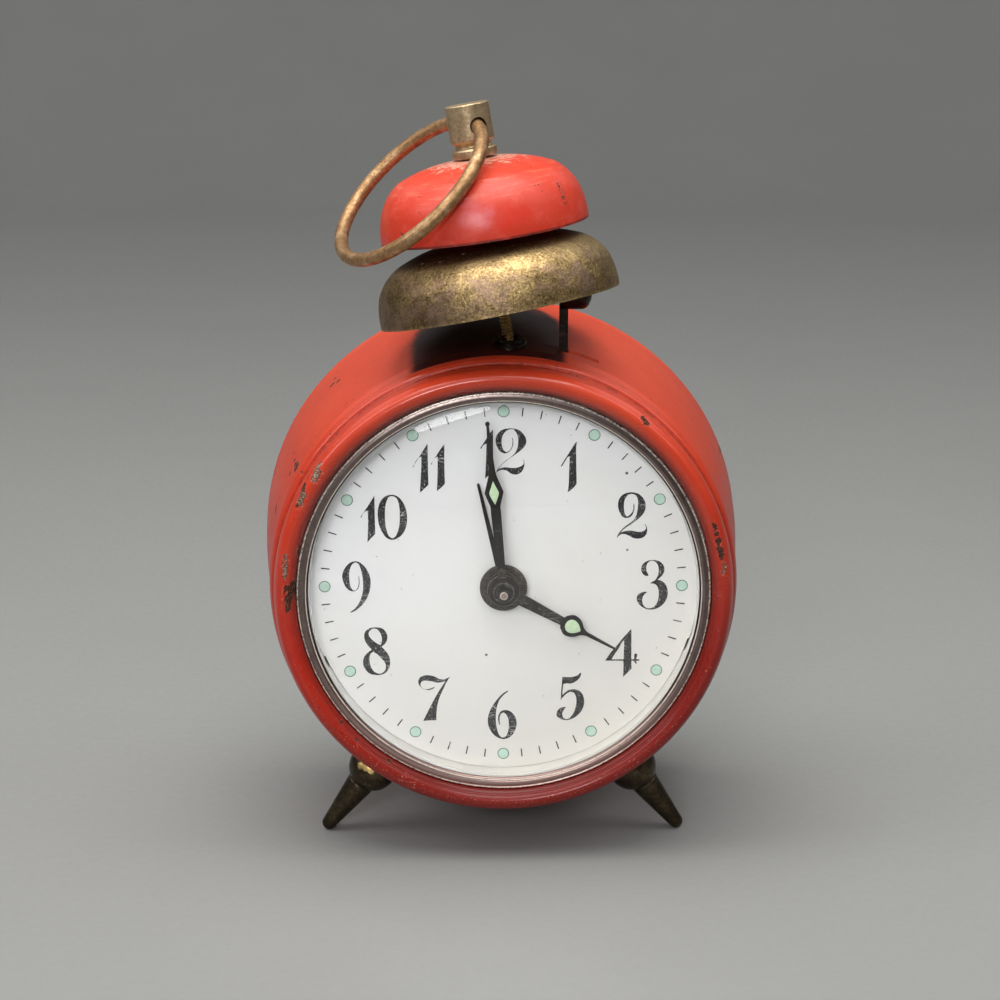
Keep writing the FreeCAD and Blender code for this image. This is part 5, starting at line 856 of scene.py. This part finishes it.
# spots on the red bell: a painted highlight, a more saturated red patch beside it, and a rubbed dark strip
SHEEN = [(-4.23, -22.52, 98.18, 1.7), (-2.85, -22.97, 96.84, 1.3), (-5.06, -21.93, 99.21, 1.1), (-5.4, -22.2, 97.0, 1.2), (-2.2, -22.6, 98.2, 1.1)]
RED_PATCH = [(0.77, -22.35, 97.73, 2.0), (2.6, -21.9, 98.0, 1.5), (-0.2, -22.7, 96.3, 1.3)]
RUBBED = [(7.95, -15.95, 101.25, 0.70), (8.30, -16.40, 100.45, 0.80), (8.62, -16.80, 99.65, 0.80), (8.95, -17.00, 98.85, 0.65)]

# ------------------------------------------------------------------ finishes for every CAD node
paint_case = red_paint("paint_case", CASE_DARK)
paint_bezel = red_paint("paint_bezel", BEZEL_DARK, BEZEL_TAN, bezel=True)
paint_bell = red_paint("paint_bell", BELL_DARK, bell=(RED_C, RED_N, 10.5))


# Brightness added to the brass bell by place: a painted highlight in a golden band on the shoulder, painted shade under
# the red bell at the top, on the left side and on the lower part, and a lighter rim edge.
def bell_painted_light(mat):
    h = mat.vec("DOT_PRODUCT", mat.vec("SUBTRACT", mat.p, BRASS_C), tuple(BRASS_N))
    gold_highlight = mat.math("SUBTRACT", mat.math("MULTIPLY", mat.band(h, 7.0, 0.8, 1.6), 0.09), mat.span(h, 4.0, 1.2, 0.0, 0.16))
    rim = mat.math("MULTIPLY", mat.span(h, 0.45, 0.1), 0.26)
    dull = mat.math("MULTIPLY", mat.span(h, 7.9, 9.0), -0.48)
    x, y, z = mat.xyz()
    left = mat.span(x, -1.0, -14.0, 0.0, -0.20)
    return mat.math("ADD", mat.math("ADD", mat.math("ADD", gold_highlight, rim), dull), left)


def bell_stain(mat):
    h = mat.vec("DOT_PRODUCT", mat.vec("SUBTRACT", mat.p, BRASS_C), tuple(BRASS_N))
    f = mat.span(mat.noise(5.0, 4, 0.62, 0.8), 0.46, 0.62, 0.0, 0.66)
    f = mat.math("MULTIPLY", f, mat.span(h, 7.0, 5.2, 0.25, 1.0))
    fleck = mat.span(spots(mat, [(-9.05, -19.45, 90.75, 0.20), (-5.80, -19.57, 91.89, 0.24), (-5.10, -19.75, 91.80, 0.16),
                                 (-11.66, -16.88, 90.08, 0.20), (-8.6, -19.6, 90.9, 0.12)], 0.7), 1.1, 0.9)
    return mat.math("MAXIMUM", f, fleck), mat.mix(fleck, (0.300, 0.198, 0.145), (0.86, 0.80, 0.70))


brass_bell_mat = aged_metal("brass_bell_aged", (0.100, 0.064, 0.026), (0.330, 0.226, 0.100), (0.610, 0.440, 0.200), patch=4.2, grain=0.37,
                            contrast=1.5, grain_amt=1.65, rough=(0.36, 0.54), bump_grain=0.055, scratch=0.34, lift=bell_painted_light, stain=bell_stain, metallic=0.94)
ring_mat = aged_metal("bronze_ring", (0.125, 0.064, 0.026), (0.350, 0.200, 0.090), (0.64, 0.445, 0.260), patch=1.9, grain=0.30, contrast=1.7,
                      grain_amt=0.55, rough=(0.37, 0.53), bump_grain=0.014, scratch=0.34, metallic=0.74)
finial_mat = aged_metal("bronze_finial", (0.23, 0.160, 0.085), (0.50, 0.378, 0.220), (0.72, 0.59, 0.385), patch=2.2, grain=0.36, contrast=1.6,
                        grain_amt=0.75, rough=(0.34, 0.50), bump_grain=0.020, scratch=0.36, metallic=0.86)
def foot_gold(mat):
    d = spots(mat, [(-21.0, -12.4, 11.7, 0.72), (-21.9, -12.0, 11.8, 0.55), (-20.3, -12.7, 11.2, 0.50), (-17.2, -12.2, 10.4, 0.34), (20.4, -11.9, 13.2, 0.40)], 1.1)
    return mat.span(d, 1.2, 0.8, 0.0, 0.92), (0.80, 0.56, 0.22)


foot_mat = aged_metal("foot_patina", (0.024, 0.018, 0.012), (0.060, 0.046, 0.029), (0.17, 0.125, 0.068), patch=3.0, grain=0.40, contrast=1.5,
                      grain_amt=0.50, rough=(0.28, 0.46), bump_grain=0.014, scratch=0.28, stain=foot_gold)
thread_mat = aged_metal("thread_brass", (0.16, 0.11, 0.04), (0.46, 0.33, 0.12), (0.75, 0.56, 0.24), patch=1.2, grain=0.12, contrast=1.6,
                        grain_amt=0.5, rough=(0.24, 0.42), bump_grain=0.003)
# the washer's steel darkened to near black: painted shade under the bells
washer_mat = aged_metal("washer_steel", (0.020, 0.016, 0.013), (0.070, 0.058, 0.048), (0.30, 0.26, 0.22), patch=1.5, grain=0.2, rough=(0.26, 0.42))
# dark steel, darkened further as painted shade under the bells
hammer_mat = aged_metal("hammer_steel", (0.012, 0.010, 0.009), (0.036, 0.029, 0.024), (0.12, 0.095, 0.08), patch=2.0, grain=0.25, rough=(0.32, 0.50), scratch=0.3)
key_mat = aged_metal("key_brass", (0.26, 0.18, 0.07), (0.52, 0.38, 0.16), (0.74, 0.57, 0.28), patch=3.0, grain=0.25, contrast=1.3, grain_amt=0.25,
                     rough=(0.20, 0.38), bump_grain=0.004, scratch=0.30)
brass_mat = turned_metal("brass_satin", (0.74, 0.54, 0.24), (0.60, 0.42, 0.17), 0.24)
steel_mat = turned_metal("steel_satin", (0.56, 0.55, 0.53), (0.42, 0.40, 0.37), 0.24)
cover_mat = plated_cover()
spring_mat = blued_spring()
nickel_mat = nickel_ring()
dial_mat = dial_enamel("dial_enamel")
rim_mat = dial_enamel("rehaut_enamel", rim=True)
black_mat = hand_black()
crystal_mat = clear_crystal()

FINISH = {
    "case_body": paint_case, "front_bezel": paint_bezel, "red_bell": paint_bell, "brass_bell": brass_bell_mat, "crystal_ring": nickel_mat,
    "crystal": crystal_mat, "dial": dial_mat, "dial_ring": rim_mat, "ring_handle": ring_mat, "finial": finial_mat, "bell_spacer": finial_mat,
    "bell_seat": finial_mat, "front_foot_left": foot_mat, "front_foot_right": foot_mat, "rear_foot": foot_mat, "post_washer": washer_mat,
    "hammer_stem": hammer_mat, "hammer_head": hammer_mat, "back_cover": cover_mat, "time_key": key_mat, "alarm_key": key_mat,
    "time_set_knob": key_mat, "alarm_set_knob": key_mat, "alarm_stop_plunger": key_mat, "minute_hand": black_mat, "hour_hand": black_mat,
    "alarm_hand": black_mat,
}
BY_SLOT = {"brass": brass_mat, "steel": steel_mat, "spring_steel": spring_mat, "dark_brass": finial_mat, "nickel": nickel_mat, "red_paint": paint_case,
           "white_enamel": dial_mat, "black_paint": black_mat, "cover_steel": cover_mat, "crystal": crystal_mat}
SLOT = {s["node"]: s["material_slot"] for s in frame["record"]["subparts"]}
for node_name, ob in NODES.items():
    finish = FINISH.get(node_name) or BY_SLOT[SLOT[node_name]]
    if not ob.material_slots:
        ob.data.materials.append(finish)
    for s in ob.material_slots:
        s.material = finish

# ------------------------------------------------------------------ the threaded post, bent just above the barrel
def threaded_post():
    pitch, outer, inner = 0.52, 0.85, 0.72
    a, b = POST - N_DIR * 1.2 * MM, POST + P_DIR * 1.2 * MM
    line = []
    for i in range(81):
        s = -6.2 + (6.2 - 1.2) * i / 80
        line.append(POST + N_DIR * s * MM)
    for i in range(1, 40):
        t = i / 40
        line.append(a * (1 - t) ** 2 + POST * 2 * t * (1 - t) + b * t * t)
    for i in range(481):
        s = 1.2 + (31.3 - 1.2) * i / 480
        line.append(POST + P_DIR * s * MM)
    n, seg = len(line), 28
    length, dist = 0.0, []
    for i, p in enumerate(line):
        if i:
            length += (p - line[i - 1]).length / MM
        dist.append(length)
    verts, faces = [], []
    ref = Vector((0, -1, 0))
    for i, p in enumerate(line):
        t = (line[min(i + 1, n - 1)] - line[max(i - 1, 0)]).normalized()
        x = (ref - t * ref.dot(t)).normalized()
        y = t.cross(x)
        end = min(1.0, dist[i] / 0.35, (length - dist[i]) / 0.35)
        for k in range(seg):
            phase = (dist[i] / pitch - k / seg) % 1.0
            ridge = 0.5 - 0.5 * math.cos(2 * math.pi * phase)
            ridge = min(1.0, ridge * 1.15)
            r = (inner + (outer - inner) * ridge) * (0.86 + 0.14 * end)
            ang = 2 * math.pi * k / seg
            verts.append(p + (x * math.cos(ang) + y * math.sin(ang)) * r * MM)
    for i in range(n - 1):
        for k in range(seg):
            j = (k + 1) % seg
            faces.append((i * seg + k, i * seg + j, (i + 1) * seg + j, (i + 1) * seg + k))
    faces.append(tuple(reversed(range(seg))))
    faces.append(tuple(range((n - 1) * seg, n * seg)))
    return mesh_object("bell_post_threaded", verts, faces, thread_mat)


post = threaded_post()
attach(post, "clock")
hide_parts("bell_post")

# ------------------------------------------------------------------ bezel and crystal turned finely, on the profiles of the CAD
def with_arcs(points, steps=12):
    """Profile points; four numbers mean an arc from the last point through the second pair."""
    out = []
    for p in points:
        if len(p) == 4:
            (ax, ay), (bx, by), (cx, cy) = out[-1], p[2:], p[:2]
            d = 2 * (ax * (by - cy) + bx * (cy - ay) + cx * (ay - by))
            ux = ((ax * ax + ay * ay) * (by - cy) + (bx * bx + by * by) * (cy - ay) + (cx * cx + cy * cy) * (ay - by)) / d
            uy = ((ax * ax + ay * ay) * (cx - bx) + (bx * bx + by * by) * (ax - cx) + (cx * cx + cy * cy) * (bx - ax)) / d
            rad = math.hypot(ax - ux, ay - uy)
            a0, a1, a2 = (math.atan2(y - uy, x - ux) for x, y in ((ax, ay), (bx, by), (cx, cy)))
            turn = (a2 - a0) % (2 * math.pi)
            if (a1 - a0) % (2 * math.pi) > turn:
                turn -= 2 * math.pi
            for i in range(1, steps):
                a = a0 + turn * i / steps
                out.append((ux + rad * math.cos(a), uy + rad * math.sin(a)))
        out.append((p[0], p[1]))
    return out


def fine_turned(name, points, material, steps, segments, sharp):
    ob = lathe(name, with_arcs(points, steps), at(0, 0, 0), (0, 1, 0), material, segments)
    bm = bmesh.new()
    bm.from_mesh(ob.data)
    bmesh.ops.remove_doubles(bm, verts=bm.verts, dist=1e-7)
    bmesh.ops.recalc_face_normals(bm, faces=bm.faces)
    bm.to_mesh(ob.data)
    bm.free()
    return sharp_by_angle(ob, sharp)


BEZEL = [(30.5, -4.6), (31.1, -5.7, 30.65, -5.25), (32.2, -6.5, 31.55, -6.28), (33.35, -5.75, 32.9, -6.3), (33.78, -4.1, 33.66, -5.0),
         (33.72, -2.1, 33.8, -3.1), (33.82, -1.45, 33.66, -1.75), (34.6, -0.45, 34.35, -1.1), (34.45, 0.75, 34.75, 0.2), (34.02, 1.6),
         (33.48, 1.6), (33.48, -0.9), (33.0, -1.3), (33.0, -4.2), (32.4, -5.4, 32.85, -5.0), (31.7, -5.4), (31.2, -4.6), (31.2, -3.6), (30.5, -3.6), (30.5, -4.6)]
bezel = fine_turned("front_bezel_turned", BEZEL, paint_bezel, 14, 320, 38.0)
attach(bezel, "clock")
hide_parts("front_bezel")
CRYSTAL = [(0.0, -8.3), (28.4, -4.55, 14.4, -7.37), (28.4, -4.25), (29.6, -4.25), (29.6, -3.3), (28.3, -3.3), (0.0, -7.1, 14.3, -6.25)]
glass = fine_turned("crystal_turned", CRYSTAL, crystal_mat, 96, 320, 30.0)
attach(glass, "clock")
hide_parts("crystal")

# ------------------------------------------------------------------ the ring of the crystal, with its turned steps
RING = [(30.42, 3.40), (30.42, 4.72), (30.39, 4.88), (30.31, 4.99), (30.20, 5.03), (30.12, 5.00), (30.07, 4.93), (29.85, 5.01),
        (29.60, 5.06), (29.40, 5.05), (29.24, 4.98), (29.18, 4.88), (29.15, 4.93), (29.10, 4.97), (29.04, 4.95), (29.00, 4.86), (28.96, 4.68),
        (28.88, 4.60), (28.82, 4.52), (28.76, 4.38), (29.20, 4.36), (29.85, 4.36), (29.85, 3.40), (30.42, 3.40)]
stepped = lathe("crystal_ring_stepped", RING, at(0, 0, 0), (0, -1, 0), nickel_mat, 256)
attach(stepped, "clock")
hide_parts("crystal_ring")

# ------------------------------------------------------------------ the screws of the back cover, with a driver's slot
def slotted(name, sx, sz, turn):
    head = lathe(name, [(0.0, 28.3), (0.95, 28.3), (0.95, 34.4), (2.1, 34.4), (2.1, 34.92), (2.05, 35.10), (1.87, 35.29), (1.52, 35.45),
                        (1.05, 35.55), (0.52, 35.59), (0.0, 35.6)], at(sx, 0, sz), (0, 1, 0), steel_mat, 72)
    c, s = math.cos(math.radians(turn)), math.sin(math.radians(turn))
    verts = []
    for u in (-3.0, 3.0):
        for w in (-0.26, 0.26):
            for y in (35.02, 36.4):
                verts.append(at(sx + u * c - w * s, y, sz + u * s + w * c))
    box = mesh_object(name + "_cut", verts, [(0, 1, 3, 2), (4, 6, 7, 5), (0, 4, 5, 1), (2, 3, 7, 6), (0, 2, 6, 4), (1, 5, 7, 3)], steel_mat, smooth=False)
    for o in (head, box):
        bm = bmesh.new()
        bm.from_mesh(o.data)
        bmesh.ops.recalc_face_normals(bm, faces=bm.faces)
        bm.to_mesh(o.data)
        bm.free()
    mod = head.modifiers.new("slot", "BOOLEAN")
    mod.operation = "DIFFERENCE"
    mod.solver = "EXACT"
    mod.object = box
    bpy.context.view_layer.update()
    me = bpy.data.meshes.new_from_object(head.evaluated_get(bpy.context.evaluated_depsgraph_get()))
    head.modifiers.clear()
    head.data = me
    bpy.data.objects.remove(box)
    return sharp_by_angle(head, 28.0)


screws = join("back_screws_slotted", [slotted("screw_a", 0.0, -24.5, 24.0), slotted("screw_b", 24.5, 5.0, -38.0), slotted("screw_c", -24.5, 5.0, 71.0)])
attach(screws, "clock")
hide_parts("back_screws")

# ------------------------------------------------------------------ the dial's printing
ink = printed_ink("ink_numerals")
ink_thin = printed_ink("ink_ticks", 0.70)
outlines = []
for label in ("12", "1", "2", "3", "4", "5", "6", "7", "8", "9", "10", "11"):
    for shape in NUMERALS[label]:
        outlines.append(smooth_outline(shape))
numerals = printed("dial_numerals", outlines, -0.022, 0.03, ink)
ticks = []
for k in range(60):
    if k % 5 == 0:
        continue
    a = k * 6.0
    wob = 0.012 * math.sin(k * 2.3)
    r0, r1, w = 25.86 + wob, 27.14 + wob, 0.084
    ticks.append([arm(a, r0, -w), arm(a, r0, w), arm(a, r1, w * 1.15), arm(a, r1, -w * 1.15)])
ticks = printed("minute_ticks", ticks, -0.018, 0.026, ink_thin)
dot_outer, dots = [], []
lume_dot = lume("lume_dots", (0.455, 0.610, 0.515), (0.365, 0.525, 0.425))
lume_rim = lume("lume_dot_rims", (0.055, 0.115, 0.085), (0.090, 0.170, 0.130), 0.5)
for k in range(12):
    cx, cz = arm(k * 30.0, 26.5, 0.0)
    ring_out = [(cx + 0.875 * math.cos(t), cz + 0.875 * math.sin(t)) for t in [2 * math.pi * i / 40 for i in range(40)]]
    dot_outer.append(ring_out)
    disc_out = [(cx + 0.765 * math.cos(t), cz + 0.765 * math.sin(t)) for t in [2 * math.pi * i / 40 for i in range(40)]]
    dots.append(domed("dot%d" % k, disc_out, -0.03, 0.05, lume_dot))
rims = printed("hour_dot_rims", dot_outer, -0.034, 0.04, lume_rim)
dots = join("hour_dots", dots)
for ob in (numerals, ticks, rims, dots):
    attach(ob, "clock")

# ------------------------------------------------------------------ glow paint in the hands, and the arbor's tip
lume_hand = lume("lume_hands", (0.500, 0.615, 0.420), (0.385, 0.530, 0.325))
drop = [(10.50, 0.0), (10.62, 0.52), (11.02, 0.93), (11.50, 1.03), (12.05, 0.88), (12.55, 0.52), (13.0, 0.0, 1),
        (12.55, -0.52), (12.05, -0.88), (11.50, -1.03), (11.02, -0.93), (10.62, -0.52)]
outline = [arm(118.85, *p) for p in smooth_outline(drop)]
hour_lume = domed("hour_hand_lume", outline, -2.45, 0.10, lume_hand)
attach(hour_lume, "hour_train")
diamond = [(13.45, 0.0, 1), (14.30, 0.40), (15.15, 0.70), (16.1, 0.36), (17.0, 0.0, 1), (16.1, -0.36), (15.15, -0.70), (14.30, -0.40)]
outline = [arm(-5.35, *p) for p in smooth_outline(diamond)]
minute_lume = domed("minute_hand_lume", outline, -3.5, 0.10, lume_hand)
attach(minute_lume, "minute_train")

tip_mat = arbor_tip()
collet = lathe("hand_collet", [(0.755, 3.52), (0.98, 3.52), (1.04, 3.60), (1.02, 3.78), (0.93, 3.86), (0.82, 3.80), (0.755, 3.70), (0.755, 3.52)],
               at(0, 0, 0), (0, -1, 0), black_mat, 96)
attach(collet, "minute_train")
for s in NODES["centre_arbor"].material_slots:
    s.material = tip_mat

# ------------------------------------------------------------------ floor, light, world
def floor():
    m = Mat("floor_pale")
    f = m.noise(60.0, 4, 0.6)
    g = m.noise(1.4, 3, 0.6)
    x, y, z = m.xyz()
    base = m.mix(f, (0.262, 0.265, 0.259), (0.286, 0.289, 0.282))
    # painted shade on the floor: darker towards the viewer, out of view, which keeps the crystal's reflection deep
    base = m.mix(m.span(y, -95.0, -330.0, 0.0, 0.62, smooth=True), base, (0.050, 0.050, 0.050))
    m.shader(color=base, rough=m.span(g, 0.3, 0.7, 0.42, 0.55), normal=m.bump(g, 0.01), specular=0.4)
    prof = [(-9.0, 0.0), (-2.6, 0.0), (0.75, 0.0)]
    for i in range(1, 25):
        t = math.pi / 2 * i / 24
        prof.append((0.75 + 0.55 * math.sin(t), 0.55 * (1 - math.cos(t))))
    prof.append((1.30, 2.6))
    verts, faces = [], []
    nx = 24
    for y, z in prof:
        for i in range(nx + 1):
            verts.append((-8.0 + 16.0 * i / nx, y, z))
    for r in range(len(prof) - 1):
        for i in range(nx):
            a = r * (nx + 1) + i
            faces.append((a, a + 1, a + nx + 2, a + nx + 1))
    return mesh_object("floor", verts, faces, m.m)


floor()


def area(name, azimuth, elevation, distance, width, height, watts, colour=(1, 1, 1), roll=0.0, aim=(0.0, -0.01, 0.05)):
    """A soft box seen from the clock at an azimuth (0 is straight in front, positive to the right) and elevation."""
    lamp = bpy.data.lights.new(name, "AREA")
    lamp.shape = "RECTANGLE"
    lamp.size = width
    lamp.size_y = height
    lamp.energy = watts
    lamp.color = colour
    ob = bpy.data.objects.new(name, lamp)
    bpy.context.scene.collection.objects.link(ob)
    a, e = math.radians(azimuth), math.radians(elevation)
    d = Vector((math.sin(a) * math.cos(e), -math.cos(a) * math.cos(e), math.sin(e)))
    target = Vector(aim)
    ob.location = target + d * distance
    z = d
    x = Vector((0, 0, 1)).cross(z)
    x = x.normalized() if x.length > 1e-4 else Vector((1, 0, 0))
    y = z.cross(x)
    c, s = math.cos(math.radians(roll)), math.sin(math.radians(roll))
    x, y = x * c + y * s, y * c - x * s
    mat = Matrix((x, y, z)).transposed().to_4x4()
    mat.translation = ob.location
    ob.matrix_world = mat
    return ob


area("key", -11.1, 21.7, 1.10, 0.30, 0.185, 3.8, (0.97, 0.975, 1.0), roll=20.9, aim=(-0.008, -0.020, 0.0686))
area("front_high", -12.0, 44.0, 1.45, 0.95, 0.70, 1.35, (1.0, 0.99, 0.97))
area("overhead", -20.0, 81.0, 0.42, 0.42, 0.36, 2.1, (1.0, 0.985, 0.96))
area("top", -20.0, 86.0, 1.40, 1.30, 1.10, 2.4, (1.0, 0.99, 0.98))
area("left", -78.0, 38.0, 1.40, 0.7, 0.8, 4.7, (1.0, 0.985, 0.97))
area("right", 78.0, 44.0, 1.40, 0.7, 0.8, 3.0, (1.0, 0.985, 0.96))
area("back_left", -135.0, 38.0, 1.40, 0.6, 0.6, 1.1, (1.0, 0.99, 0.98))
area("back_right", 135.0, 38.0, 1.40, 0.6, 0.6, 1.0, (1.0, 0.99, 0.98))

world = bpy.data.worlds.new("studio")
world.use_nodes = True
wt = world.node_tree
wt.nodes.clear()
wo = wt.nodes.new("ShaderNodeOutputWorld")
bg = wt.nodes.new("ShaderNodeBackground")
tc = wt.nodes.new("ShaderNodeTexCoord")
sx = wt.nodes.new("ShaderNodeSeparateXYZ")
rp = wt.nodes.new("ShaderNodeValToRGB")
rp.color_ramp.elements[0].position = 0.0
rp.color_ramp.elements[0].color = (0.050, 0.046, 0.043, 1)
rp.color_ramp.elements[1].position = 0.80
rp.color_ramp.elements[1].color = (0.30, 0.30, 0.30, 1)
wt.links.new(tc.outputs["Generated"], sx.inputs[0])
wt.links.new(sx.outputs[2], rp.inputs[0])
wt.links.new(rp.outputs[0], bg.inputs[0])
bg.inputs[1].default_value = 1.0
wt.links.new(bg.outputs[0], wo.inputs[0])
bpy.context.scene.world = world
bpy.context.scene.view_settings.view_transform = "Standard"
bpy.context.scene.view_settings.look = "None"

for other in bpy.data.objects:
    if other.type == "MESH" and not other.data.materials:
        raise RuntimeError("no finish on " + other.name)
